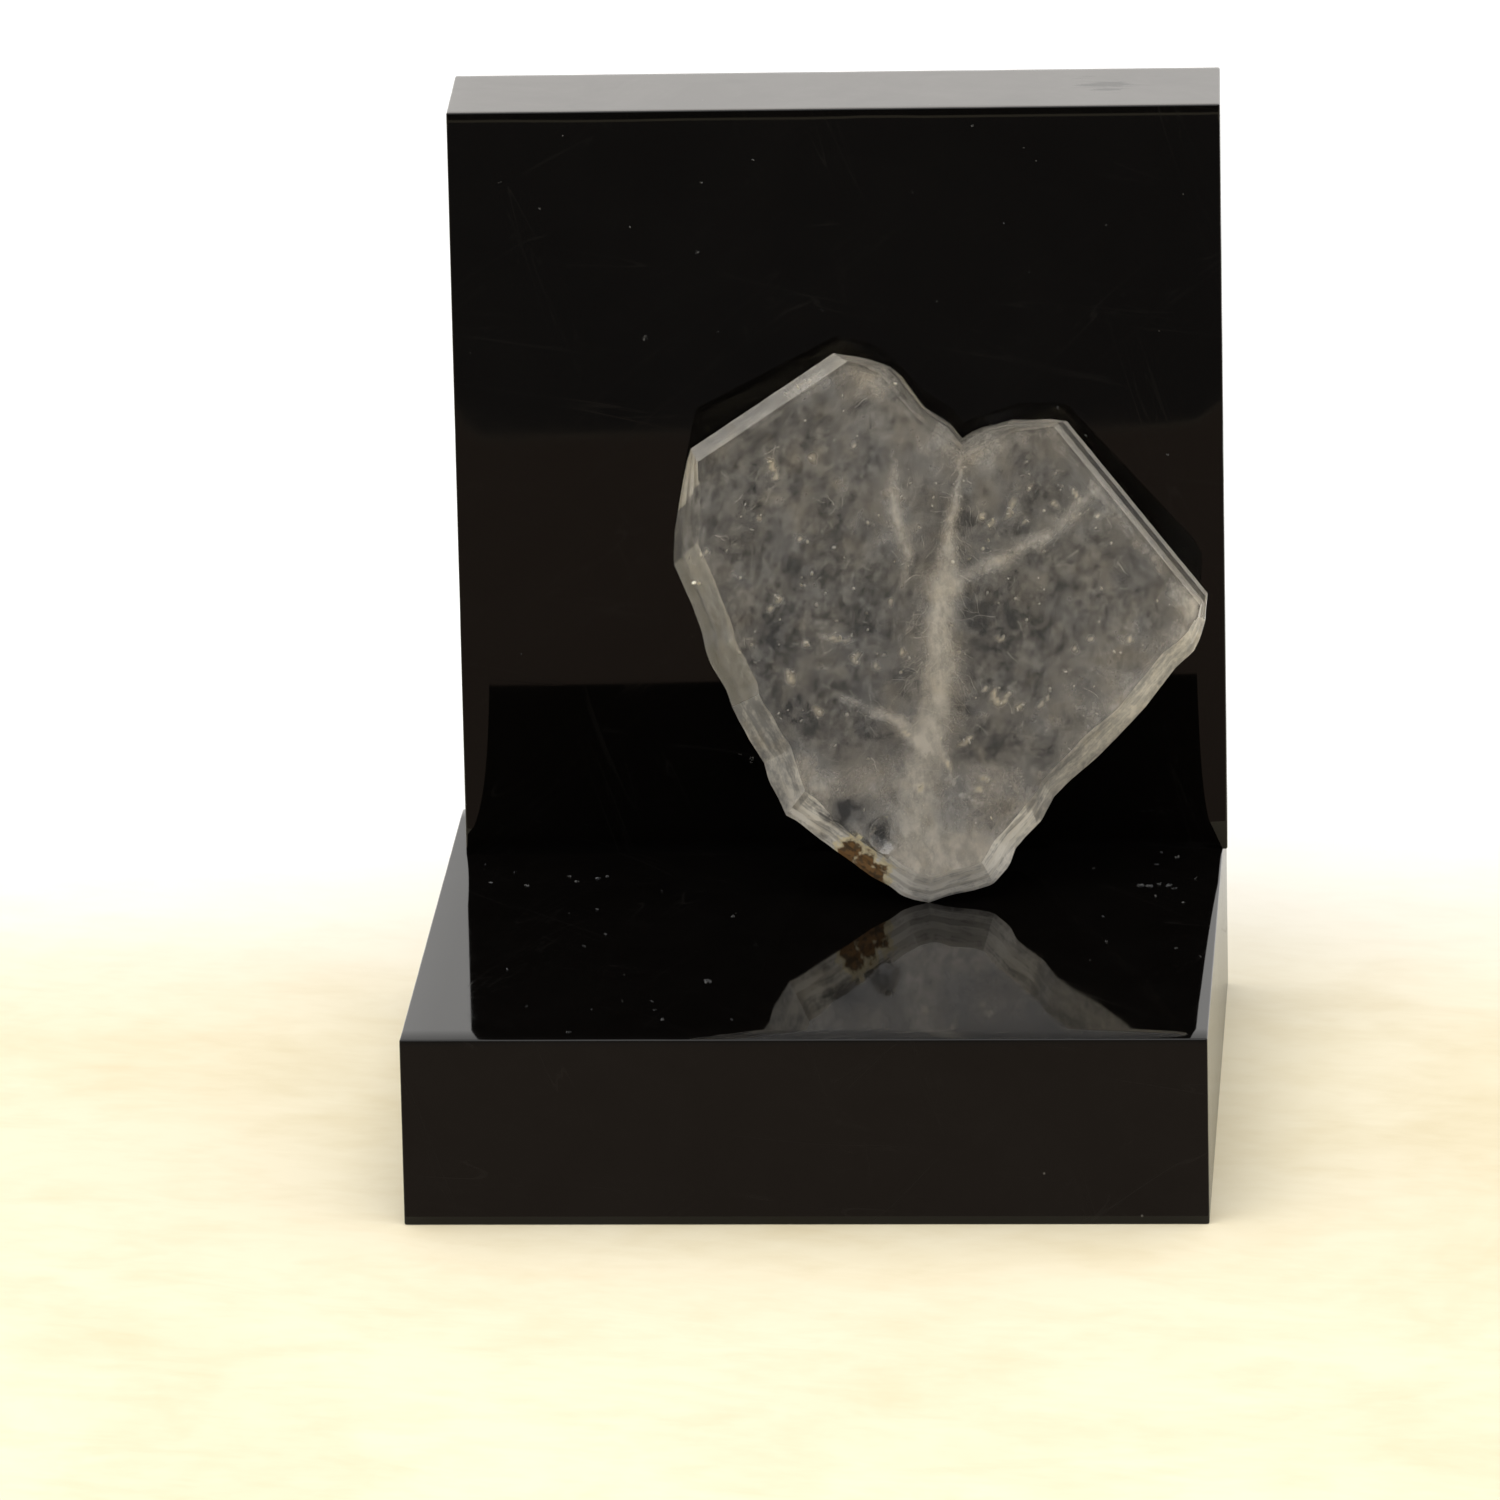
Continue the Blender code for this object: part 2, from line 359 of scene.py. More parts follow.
@dataclass(frozen=True)
class AcrylicFinish:
    """Black cast acrylic: its polished faces, or its sawn and sanded edges."""

    name: str
    color: tuple = (0.0016, 0.0013, 0.0011)
    roughness: float = 0.03
    reflection: float = 0.25
    haze: float = 0.0
    haze_color: tuple = (0.30, 0.283, 0.265)
    wiped_share: float = 0.6
    smeared_share: float = 0.25
    grain: float = 0.0
    scratch_color: tuple = (0.5, 0.47, 0.44)
    dust_color: tuple = (0.6, 0.58, 0.55)
    ior: float = 1.49
    # A fingermark in the dust, as a point in millimetres.
    wiped_at: tuple = (14.4, 17.0, STAND_TOP)

    def make(self, effects: Effects) -> Material:
        """Makes the material.

        Args:
            effects: the shared effects.

        Returns:
            The material.
        """
        material, sketch, shader = new_material(self.name)
        where = in_millimetres(sketch)
        coarse = sketch.mask(effects.hairlines, where, scale=0.55, width=0.006, share=0.47)
        fine = sketch.mask(effects.hairlines, where, scale=1.7, width=0.014, share=0.45)
        scratches = sketch.math("MAXIMUM", coarse, sketch.math("MULTIPLY", fine, 0.55))
        dust = sketch.mask(effects.specks, where, scale=0.6, size=0.05, share=0.3)
        smears = sketch.mask(effects.clouds, where, scale=0.12, low=0.42, high=0.75)
        settled = self._settled(sketch, where) if self.haze else 0.0
        veil = sketch.math("MULTIPLY_ADD", smears, self.smeared_share * self.haze + 0.003, settled)
        color = sketch.tint(veil, self.color, self.haze_color)
        color = sketch.tint(sketch.math("MULTIPLY", scratches, 0.006), color, self.scratch_color)
        color = sketch.tint(sketch.math("MULTIPLY", dust, 0.16), color, self.dust_color)
        rough = sketch.math("MULTIPLY_ADD", scratches, 0.05, self.roughness)
        rough = sketch.math("MULTIPLY_ADD", smears, 0.03, rough)
        sawn = sketch.noise(sketch.stretch(where, (0.3, 0.3, 9.0)), 1.0, 2.0)
        height = sketch.blend(self.grain, sketch.math("MULTIPLY", coarse, -0.12), sawn)
        bump = sketch.add("ShaderNodeBump", {"Height": height, "Strength": 0.06, "Distance": 0.00002})
        sketch.feed(shader, {
            "Base Color": color, "Roughness": rough, "Normal": bump.outputs[0],
            "IOR": self.ior, "Specular IOR Level": self.reflection,
        })
        return material

    def _settled(self, sketch: Sketch, where: NodeSocket) -> NodeSocket:
        """How thick the settled dust is: even, but thinner in the fingermark.

        Args:
            sketch: the material's nodes.
            where: the coordinates in millimetres.

        Returns:
            The thickness.
        """
        near = sketch.vector("DISTANCE", where, self.wiped_at)
        smeared = sketch.noise(sketch.stretch(where, (0.5, 1.6, 1.0)), 0.9, 4.0)
        ragged = sketch.math("MULTIPLY", smeared, 5.0)
        wiped = sketch.step(sketch.math("ADD", near, ragged), 4.2, 3.0)
        return sketch.math("MULTIPLY_ADD", wiped, -self.wiped_share * self.haze, self.haze)


@dataclass(frozen=True)
class SpecimenFrame:
    """How the specimen stands: the tip of its foot on the base plate, its top on the upright."""

    foot: tuple = (5.19, 3.02, BASE_TOP)
    lean: float = math.radians(18.55)
    turn: float = math.radians(7.7)

    @property
    def turned(self) -> Matrix:
        """The turn from the specimen's own axes to the stand's."""
        return Euler((math.radians(90) - self.lean, 0.0, self.turn)).to_matrix()

    @property
    def matrix(self) -> Matrix:
        """From the specimen's millimetres to the stand's metres."""
        place = Matrix.Translation(Vector(self.foot) * MM)
        return place @ self.turned.to_4x4() @ Matrix.Scale(MM, 4)

    def coordinates(self, sketch: Sketch) -> NodeSocket:
        """The specimen's own millimetre coordinates, in a material of one of its pieces.

        Args:
            sketch: the material's nodes.

        Returns:
            The coordinates' socket.
        """
        back = self.turned.transposed()
        origin = -(back @ Vector(self.foot))
        own = sketch.add("ShaderNodeTexCoord").outputs["Object"]
        return sketch.add("ShaderNodeMapping", {
            "Vector": own, "Location": origin, "Rotation": back.to_euler(), "Scale": (1 / MM,) * 3,
        }).outputs[0]


SPECIMEN = SpecimenFrame()


class QuartzMarks:
    """The marks on and in the crystal, drawn into a material in the specimen's coordinates."""

    def __init__(self, sketch: Sketch, where: NodeSocket) -> None:
        """Starts to draw into a material at these coordinates."""
        self.sketch, self.where = sketch, where

    def growth_lines(self, frost_and_painted_light: NodeSocket, on_main: float) -> NodeSocket:
        """How far the growth lines lighten or darken a place: they run along the rim.

        Args:
            frost_and_painted_light: the mask of the frosted side faces, raised on the low ones as painted
                light.
            on_main: their strength on the main faces.

        Returns:
            The haze to add.
        """
        sketch, where = self.sketch, self.where
        rim = sketch.attribute("rim")
        bent = sketch.math("MULTIPLY_ADD", sketch.noise(where, 0.7, 2.0), 0.35, rim)
        run = sketch.noise(where, 0.25, 1.0)
        line_at = sketch.add("ShaderNodeCombineXYZ", {"X": sketch.math("MULTIPLY", bent, 5.5), "Y": run})
        lines = sketch.step(sketch.noise(line_at.outputs[0], 1.0, 3.0, roughness=0.7), 0.4, 0.62)
        reach = sketch.math("MAXIMUM", sketch.step(rim, 2.6, 1.2), frost_and_painted_light)
        strength = sketch.math("MULTIPLY_ADD", frost_and_painted_light, 0.02, on_main)
        signed = sketch.math("SUBTRACT", lines, 0.45)
        return sketch.math("MULTIPLY", sketch.math("MULTIPLY", signed, strength), reach)

    def threads(self) -> NodeSocket:
        """The mask of the thin curling threads that run through the haze.

        Returns:
            The mask's socket.
        """
        sketch, lines = self.sketch, []
        for layer, scale in enumerate((0.55, 0.9, 1.5)):
            inputs = {"Vector": self.where, "Location": (7.0 * layer, 3, 1)}
            moved = sketch.add("ShaderNodeMapping", inputs).outputs[0]
            wave = sketch.noise(moved, scale, 3.0, distortion=1.4)
            near = sketch.math("ABSOLUTE", sketch.math("SUBTRACT", wave, 0.5))
            kept = sketch.step(sketch.noise(moved, scale * 1.3, 2.0), 0.48, 0.62)
            lines.append(sketch.math("MULTIPLY", sketch.step(near, 0.018, 0.002), kept))
        return sketch.most(lines)

    def striae(self) -> NodeSocket:
        """The mask of the growth lines that cross the middle of the right crystal.

        Returns:
            The mask's socket.
        """
        sketch = self.sketch
        along_lines = sketch.stretch(self.where, (0.25, 5.0, 0.2), (0, 0, math.radians(37)))
        lines = sketch.step(sketch.noise(along_lines, 1.0, 2.0), 0.42, 0.62)
        away = sketch.vector("DISTANCE", self.where, (7.6, 17.6, 1.5))
        return sketch.math("MULTIPLY", lines, sketch.step(away, 3.6, 1.0))

    def from_stain(self, centres: tuple) -> NodeSocket:
        """How far a place is from the nearest centre of the iron stain, unevenly.

        Args:
            centres: the stain's centres, in millimetres on the specimen.

        Returns:
            The distance's socket.
        """
        sketch = self.sketch
        flat = sketch.vector("MULTIPLY", self.where, (1.0, 1.0, 0.0))
        away = [sketch.vector("DISTANCE", flat, (*centre, 0.0)) for centre in centres]
        uneven = sketch.math("MULTIPLY_ADD", sketch.noise(self.where, 2.4, 4.0), 1.2, -0.6)
        return sketch.math("ADD", sketch.most(away, "MINIMUM"), uneven)

    def relief(self) -> NodeSocket:
        """The normal, bumped by the fine etching of the faces and the growth lines.

        Returns:
            The normal's socket.
        """
        sketch = self.sketch
        etched = sketch.math("MULTIPLY", sketch.noise(self.where, 2.2, 2.0), 0.4)
        height = sketch.math("MULTIPLY_ADD", self.striae(), 0.5, etched)
        inputs = {"Height": height, "Strength": 0.15, "Distance": 0.00003}
        return sketch.add("ShaderNodeBump", inputs).outputs[0]


@dataclass(frozen=True)
class QuartzFinish:
    """Clear quartz, clouded with growth haze, with frosted sides and an iron stain at its foot; on the low
    sides and the foot the frosted haze is also painted light.
    """

    name: str
    transmission: float
    roughness: float
    haze: float
    lines: float = 0.30
    # How much each mark adds to the haze.
    cloudy: float = 0.42
    mottle: float = 0.34
    threaded: float = 0.16
    milkiness: float = 0.8
    # The frosting's haze is partly painted light: the level is raised on the low side faces and the foot,
    # which lie in shade.
    frosting_and_painted_light: float = 0.22
    striped: float = 0.2
    # A painted highlight: the haze is raised along the sharp edges of the frosted faces.
    painted_edge_highlight: float = 0.3
    ior: float = 1.544
    clear: tuple = (0.50, 0.49, 0.485)
    milky: tuple = (0.97, 0.92, 0.83)
    amber: tuple = (0.80, 0.62, 0.34)
    stain: tuple = (0.27, 0.125, 0.03)
    crust: tuple = (0.09, 0.045, 0.015)
    halo: tuple = (0.98, 0.86, 0.58)
    stain_at: tuple = ((-3.95, 2.75), (-3.3, 2.15), (-2.65, 1.55))

    def make(self, effects: Effects) -> Material:
        """Makes the material.

        Args:
            effects: the shared effects.

        Returns:
            The material.
        """
        material, sketch, shader = new_material(self.name)
        where = SPECIMEN.coordinates(sketch)
        marks = QuartzMarks(sketch, where)
        # Painted light: this attribute, and with it the haze, is higher on the low side faces and the
        # foot.
        frost_and_painted_light = sketch.attribute("frost_and_painted_light")
        clouds = sketch.mask(effects.clouds, where, scale=0.40, low=0.42, high=0.60)
        haze = self.haze
        for mask, weight in (
            (clouds, self.cloudy),
            (sketch.mask(effects.clouds, where, scale=1.3, low=0.44, high=0.68), self.mottle),
            (marks.threads(), self.threaded),
            (sketch.attribute("milk"), self.milkiness),
            (frost_and_painted_light, self.frosting_and_painted_light),
            (marks.striae(), self.striped),
        ):
            haze = sketch.math("MULTIPLY_ADD", mask, weight, haze)
        haze = sketch.math("ADD", haze, marks.growth_lines(frost_and_painted_light, self.lines))
        # Painted highlight along the sharp edges of the frosted faces.
        haze = sketch.math("MULTIPLY_ADD", sketch.attribute("edge"), self.painted_edge_highlight, haze, clamp=True)
        color = sketch.tint(haze, self.clear, self.milky)
        warm = sketch.step(sketch.noise(where, 0.8, 3.0), 0.52, 0.72)
        color = sketch.tint(sketch.math("MULTIPLY", warm, 0.16), color, self.amber)
        away = marks.from_stain(self.stain_at)
        color = sketch.tint(sketch.step(away, 0.95, 0.7), color, self.halo)
        rust = sketch.tint(sketch.step(sketch.noise(where, 3.2, 4.0), 0.42, 0.6), self.stain, self.crust)
        color = sketch.tint(sketch.math("MULTIPLY", sketch.step(away, 0.66, 0.4), 0.95), color, rust)
        rough = sketch.math("MULTIPLY_ADD", frost_and_painted_light, 0.08, self.roughness)
        rough = sketch.math("MULTIPLY_ADD", clouds, 0.08, rough)
        sketch.feed(shader, {
            "Base Color": color, "Roughness": rough, "Normal": marks.relief(),
            "IOR": self.ior, "Transmission Weight": self.transmission,
        })
        return material


@dataclass(frozen=True)
class MistFinish:
    """The thin mist of tiny bubbles inside the crystal, in clouds with clear gaps between them."""

    name: str
    shift: float
    color: tuple = (0.90, 0.875, 0.84)
    brown: tuple = (0.80, 0.70, 0.56)
    blue: tuple = (0.76, 0.80, 0.86)
    warm: tuple = (0.97, 0.90, 0.70)
    thickest: float = 0.36
    fleck_strength: float = 0.95

    def make(self, effects: Effects) -> Material:
        """Makes the material.

        Args:
            effects: the shared effects.

        Returns:
            The material.
        """
        material, sketch, shader = new_material(self.name)
        where = sketch.add("ShaderNodeMapping", {
            "Vector": SPECIMEN.coordinates(sketch), "Location": (self.shift, 2 * self.shift, 0),
        }).outputs[0]
        milk = sketch.attribute("milk")
        fade = sketch.attribute("fade")
        clouds = sketch.mask(effects.clouds, where, scale=0.5, low=0.46, high=0.66)
        drawn = sketch.stretch(where, (1, 0.45, 1), (0, 0, math.radians(25)))
        wisps = sketch.mask(effects.clouds, drawn, scale=1.5, low=0.46, high=0.7)
        thick = sketch.math("MULTIPLY_ADD", wisps, 0.5, sketch.math("MULTIPLY", clouds, 0.7))
        thick = sketch.math("MULTIPLY", thick, self.thickest)
        along_seam = sketch.stretch(where, (1.5, 0.8, 0.5), (0, 0, math.radians(-6)))
        streaks = sketch.step(sketch.noise(along_seam, 1.0, 3.0, roughness=0.55), 0.34, 0.64)
        streaky = sketch.math("MULTIPLY", milk, sketch.math("MULTIPLY_ADD", streaks, 0.65, 0.3))
        fleck = sketch.attribute("fleck")
        thick = sketch.math("ADD", thick, streaky)
        thick = sketch.math("ADD", thick, sketch.math("MULTIPLY", fleck, self.fleck_strength))
        thick = sketch.math("MULTIPLY", thick, fade, clamp=True)
        hue = sketch.step(sketch.noise(where, 0.45, 2.0), 0.4, 0.6)
        tinted = sketch.tint(hue, self.blue, self.brown)
        color = sketch.tint(sketch.math("MULTIPLY_ADD", milk, -0.45, 0.45), self.color, tinted)
        color = sketch.tint(fleck, color, self.warm)
        inputs = {"Base Color": color, "Alpha": thick, "Roughness": 0.9, "Specular IOR Level": 0.0}
        sketch.feed(shader, inputs)
        return material


@dataclass(frozen=True)
class GrainFinish:
    """The matt white of healed cracks, flakes and dust, with a warmer tint here and there."""

    name: str
    color: tuple = (0.97, 0.95, 0.90)
    warm: tuple = (0.96, 0.88, 0.66)
    warm_share: float = 0.3
    roughness: float = 0.55

    def make(self, effects: Effects) -> Material:
        """Makes the material.

        Args:
            effects: the shared effects.

        Returns:
            The material.
        """
        material, sketch, shader = new_material(self.name)
        where = in_millimetres(sketch)
        patches = sketch.mask(effects.clouds, where, scale=0.9, low=0.45, high=0.62)
        color = sketch.tint(sketch.math("MULTIPLY", patches, self.warm_share), self.color, self.warm)
        rough = sketch.math("MULTIPLY_ADD", patches, 0.2, self.roughness)
        sketch.feed(shader, {"Base Color": color, "Roughness": rough})
        return material


# ---- Meshes ----


def link(name: str, mesh: Mesh) -> Object:
    """Puts a mesh into the scene as an object at the origin.

    Args:
        name: the object's name.
        mesh: its mesh.

    Returns:
        The object.
    """
    made = bpy.data.objects.new(name, mesh)
    bpy.context.scene.collection.objects.link(made)
    return made


def mesh_from(name: str, bm: BMesh) -> Mesh:
    """Turns a bmesh into a mesh and frees it.

    Args:
        name: the mesh's name.
        bm: the bmesh.

    Returns:
        The mesh.
    """
    mesh = bpy.data.meshes.new(name)
    bm.to_mesh(mesh)
    bm.free()
    return mesh


def finish_piece(piece: Object, slot: Slot, *nodes: str) -> None:
    """Says what a finished piece rides on and stands for, and logs it.

    Args:
        piece: the finished piece.
        slot: the record's slot of its finish; not used.
        nodes: the CAD nodes that it replaces.
    """
    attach(piece, ROOT)
    if nodes:
        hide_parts(*nodes)
    LOG.info("%s: %d faces", piece.name, len(piece.data.polygons))


@dataclass(frozen=True)
class Plate:
    """A square-cut sheet of acrylic, with just broken edges and the faint waves of cast sheet."""

    name: str
    node: str
    low: tuple
    size: tuple
    yaw: float = 0.0
    edge_round: float = 0.1
    cell: float = 1.6
    wave: float = 0.003
    nick: float = 0.02

    def build(self, face: Material, edge: Material, top: Material,
              across: int) -> Object:
        """Builds the plate.

        Args:
            face: the finish of the polished faces.
            edge: the finish of the sawn edges.
            top: the finish of a sawn edge that faces up.
            across: the axis across the sheet.

        Returns:
            The finished piece.
        """
        bm = bmesh.new()
        bmesh.ops.create_cube(bm, size=1.0)
        for vertex in bm.verts:
            vertex.co = Vector(side if at > 0 else 0.0 for at, side in zip(vertex.co, self.size))
        bmesh.ops.bevel(
            bm, geom=list(bm.edges), offset=self.edge_round, segments=3, profile=0.5, affect="EDGES"
        )
        cuts = max(1, round(max(self.size) / self.cell))
        long_edges = [e for e in bm.edges if e.calc_length() > 2 * self.cell]
        bmesh.ops.subdivide_edges(bm, edges=long_edges, cuts=cuts, use_grid_fill=True)
        bm.normal_update()
        self._weather(bm)
        for found in bm.faces:
            found.smooth = True
            up = 2 if found.normal.z > 0.7 else 1
            found.material_index = 0 if abs(found.normal[across]) > 0.7 else up
        turn = Matrix.Translation(Vector(self.low)) @ Matrix.Rotation(self.yaw, 4, "Z")
        bm.transform(Matrix.Scale(MM, 4) @ turn)
        bmesh.ops.recalc_face_normals(bm, faces=bm.faces)
        piece = link(self.name, mesh_from(self.name, bm))
        for finish in (face, edge, top):
            piece.data.materials.append(finish)
        finish_piece(piece, Slot.ACRYLIC, self.node)
        return piece

    def _weather(self, bm: BMesh) -> None:
        """Waves the faces a little inwards and nicks the edges.

        Args:
            bm: the plate's mesh in millimetres, at the origin.
        """
        for vertex in bm.verts:
            rounded = max(abs(part) for part in vertex.normal) < 0.999
            if rounded:
                sunk = max(0.0, noise.noise(vertex.co * 0.9) - 0.15) * self.nick
            else:
                sunk = (noise.noise(vertex.co * 0.13) + 1.0) * self.wave
            vertex.co -= vertex.normal * sunk


# ---- The crystal ----


@dataclass(frozen=True)
class Corner:
    """A corner of the outline, the ridge's depth there below the front and the faces after it."""

    x: float
    y: float
    depth: float
    faces: Faces

    @property
    def point(self) -> Vector:
        """The corner in the specimen's plane."""
        return Vector((self.x, self.y))


def along(heading: float) -> Vector:
    """The direction this many radians clockwise from straight up the specimen."""
    return Vector((math.sin(heading), math.cos(heading)))


def inwards(direction: Vector) -> Vector:
    """The inward side of an edge, as the outline runs clockwise."""
    return Vector((direction.y, -direction.x))


@dataclass(frozen=True)
class Crystal:
    """One of the twins: the ridge of its chisel end runs square to its long axis."""

    start: tuple
    length: float
    axis: float

    @property
    def ridge(self) -> Vector:
        """The direction of the ridge."""
        return along(math.radians(self.axis + 90))

    @property
    def ridge_start(self) -> Vector:
        """Where the ridge starts."""
        return Vector(self.start)

    @property
    def ridge_end(self) -> Vector:
        """Where the ridge ends."""
        return self.ridge_start + self.ridge * self.length


TWIN_PLANE = 10.8
AXIS_TO_TWIN_PLANE = 42.28
LEFT = Crystal((-11.2, 23.6), 8.8, TWIN_PLANE - AXIS_TO_TWIN_PLANE)
RIGHT = Crystal((8.1, 24.25), 11.35, TWIN_PLANE + AXIS_TO_TWIN_PLANE)
FRONT_Z = 1.75
THICKNESS = 2.6
RIDGE_DEPTH = 0.7


def corners(faces: Faces, *places: tuple) -> list[Corner]:
    """Corners at these (x, y, depth), each with this kind of faces after it."""
    return [Corner(*place, faces) for place in places]


OUTLINE = [
    # The left crystal's upper side, its chisel end and its right shoulder.
    *corners(Faces.RHOMB, (-12.2, 17.8, 2.4), (-12.05, 19.6, 2.4), (-11.8, 20.9, 2.2)),
    *corners(Faces.CHISEL, (*LEFT.ridge_start, RIDGE_DEPTH)),
    *corners(Faces.RHOMB, (*LEFT.ridge_end, RIDGE_DEPTH), (-2.1, 27.95, 1.3)),
    *corners(Faces.PRISM, (-0.75, 27.5, 1.6), (-0.25, 27.0, 1.6), (0.95, 25.3, 1.5), (2.2, 24.4, 1.5)),
    # The notch between the twins, then the right crystal's shoulder and chisel end.
    *corners(Faces.PRISM, (2.8, 23.65, 1.7)),
    *corners(Faces.RHOMB, (3.85, 24.2, 1.8), (5.4, 24.5, 1.6)),
    *corners(Faces.CHISEL, (*RIGHT.ridge_start, RIDGE_DEPTH)),
    *corners(Faces.RHOMB, (*RIGHT.ridge_end, RIDGE_DEPTH), (14.8, 13.85, 1.3)),
    # The right crystal's stepped lower side.
    *corners(Faces.PRISM, (14.2, 12.3, 1.8), (13.25, 11.5, 1.9), (11.65, 9.6, 1.9), (9.0, 7.1, 2.0)),
    *corners(Faces.PRISM, (6.7, 5.15, 1.9)),
    # The broken foot.
    *corners(Faces.BROKEN, (5.95, 3.9, 1.8), (4.45, 2.35, FRONT_Z), (3.4, 0.85, FRONT_Z)),
    *corners(Faces.BROKEN, (1.3, 0.36, FRONT_Z), (0.02, 0.02, FRONT_Z), (-1.2, 0.36, FRONT_Z)),
    *corners(Faces.BROKEN, (-2.0, 0.98, FRONT_Z), (-4.5, 2.8, FRONT_Z)),
    # The left crystal's stepped lower side.
    *corners(Faces.PRISM, (-7.05, 4.75, 2.0), (-7.4, 5.6, 2.2), (-8.05, 7.5, 2.3), (-9.55, 10.4, 2.4)),
    *corners(Faces.PRISM, (-9.8, 11.3, 2.4), (-10.75, 13.3, 2.4), (-11.0, 14.5, 2.4)),
]

# The rim in finer detail, where small steps and chips break it up.
RIM_DETAIL = [
    (-3.79, 28.25), (-3.02, 28.16), (-1.88, 27.87), (-0.83, 27.51), (-0.27, 27.04), (0.37, 26.11),
    (0.91, 25.32), (1.66, 24.81), (2.22, 24.4), (2.59, 23.9), (2.81, 23.64), (3.16, 23.88),
    (3.85, 24.18), (4.63, 24.31), (5.41, 24.5), (6.28, 24.43), (7.25, 24.42), (7.92, 24.29),
    (8.29, 23.97), (14.23, 15.93), (14.87, 15.13), (14.82, 13.88), (14.52, 12.93), (14.17, 12.27),
    (13.27, 11.53), (12.25, 10.33), (11.63, 9.58), (10.22, 8.19), (9.02, 7.09), (7.61, 5.99),
    (6.71, 5.16), (5.98, 3.94), (5.18, 3.2), (4.57, 2.55), (4.24, 1.7), (3.34, 0.78),
    (2.36, 0.53), (1.19, 0.35), (0.02, 0.0), (-0.74, 0.18), (-1.31, 0.4), (-1.96, 0.95),
    (-2.81, 1.42), (-3.93, 2.33), (-4.49, 2.74), (-5.6, 3.65), (-6.53, 4.46), (-7.06, 4.77),
    (-7.35, 5.55), (-7.83, 6.53), (-8.04, 7.5), (-8.67, 8.58), (-9.2, 9.66), (-9.55, 10.44),
    (-9.81, 11.32), (-10.52, 12.59), (-10.78, 13.38), (-10.93, 14.34), (-11.44, 15.9),
    (-11.96, 17.17), (-12.22, 17.85), (-12.09, 19.58), (-11.93, 20.34), (-11.68, 21.68),
    (-11.36, 23.2), (-11.07, 23.73),
]


def unit(value: float) -> float:
    """The value kept within 0 and 1."""
    return min(1.0, max(0.0, value))


def ripple(x: float, y: float, per_mm: float, layer: float) -> float:
    """Smooth noise at a point, from -1 to 1, in one of many independent layers."""
    return noise.noise(Vector((x * per_mm, y * per_mm, layer)))


def share_along(here: Vector, start: Vector, run: Vector) -> float:
    """Which share of the run from start is nearest to a point, from 0 to 1."""
    return unit((here - start).dot(run) / run.length_squared)


def rim_distance(x: float, y: float) -> tuple[float, bool, Vector]:
    """How a point lies to the outline.

    Args:
        x: the point's place across the specimen.
        y: its place up the specimen.

    Returns:
        Its distance in millimetres, True inside, and the middle of the nearest side.
    """
    here, inside, least, middle = Vector((x, y)), False, math.inf, None
    for a, b in zip(OUTLINE, [*OUTLINE[1:], OUTLINE[0]]):
        if (a.y > y) != (b.y > y) and x < (b.x - a.x) * (y - a.y) / (b.y - a.y) + a.x:
            inside = not inside
        run = b.point - a.point
        away = (here - a.point - run * share_along(here, a.point, run)).length
        if away < least:
            least, middle = away, a.point + run * 0.5
    return least, inside, middle


@dataclass(frozen=True)
class Veil:
    """A healed crack, as a line of (x, y, half width, strength) in the specimen's plane."""

    line: tuple

    def at(self, x: float, y: float) -> tuple[float, Vector, float]:
        """What the veil does at a point.

        Args:
            x: the point's place across the specimen.
            y: its place up the specimen.

        Returns:
            How milky it makes the point, from 0 to 1, which way it runs there, and on which side
            of it the point lies, from -1 to 1.
        """
        sway = noise.noise_vector(Vector((0.9 * x, 0.9 * y, 3.0))) * 0.22
        sway += noise.noise_vector(Vector((2.6 * x, 2.6 * y, 6.0))) * 0.10
        here, best, nearest = Vector((x, y)) + sway.xy, (0.0, Vector((0.0, 1.0)), 0.0), math.inf
        for (ax, ay, aw, a_strength), (bx, by, bw, b_strength) in zip(self.line, self.line[1:]):
            start, run = Vector((ax, ay)), Vector((bx - ax, by - ay))
            share = share_along(here, start, run)
            away = here - start - run * share
            width = aw + (bw - aw) * share
            if away.length / width < nearest:
                nearest = away.length / width
                strength = (a_strength + (b_strength - a_strength) * share) * math.exp(-(nearest**2))
                way = run.normalized()
                best = (strength, way, max(-1.0, min(1.0, way.cross(away) / width)))
        return best


SEAM = Veil((
    (2.69, 23.3, 0.12, 0.4), (2.32, 21.44, 0.15, 0.5), (2.04, 19.56, 0.24, 0.6),
    (1.63, 17.28, 0.45, 0.8), (1.31, 15.76, 0.68, 1.0), (1.02, 13.83, 0.68, 0.95),
    (1.04, 11.89, 0.7, 1.0), (0.76, 10.01, 0.74, 1.0), (0.37, 8.09, 0.8, 0.9),
    (-0.18, 6.17, 1.0, 0.75), (-0.66, 4.3, 1.2, 0.55), (-0.8, 2.23, 1.3, 0.4),
    (-0.5, 0.9, 1.3, 0.3),
))
# The right, the left and the low wisp, a thread and a streak.
WISPS = (
    Veil(((1.4, 16.0, 0.5, 0.6), (2.99, 16.81, 0.35, 0.5), (4.35, 17.32, 0.3, 0.45),
          (6.7, 18.4, 0.3, 0.5), (8.08, 19.52, 0.35, 0.4), (9.32, 20.8, 0.4, 0.25))),
    Veil(((-1.1, 23.8, 0.15, 0.0), (-0.78, 22.6, 0.18, 0.15), (-1.09, 20.66, 0.35, 0.6),
          (-0.6, 18.9, 0.3, 0.6), (-0.47, 17.36, 0.25, 0.5), (-0.68, 15.99, 0.2, 0.2))),
    Veil(((-4.57, 10.99, 0.1, 0.2), (-3.08, 10.17, 0.18, 0.6), (-1.22, 9.22, 0.25, 0.75),
          (-0.29, 8.32, 0.25, 0.7))),
    Veil(((0.86, 7.71, 0.07, 0.7), (1.32, 6.47, 0.07, 0.7), (1.55, 5.84, 0.07, 0.6))),
    Veil(((1.79, 5.43, 0.08, 0.5), (3.3, 4.8, 0.1, 0.6))),
)
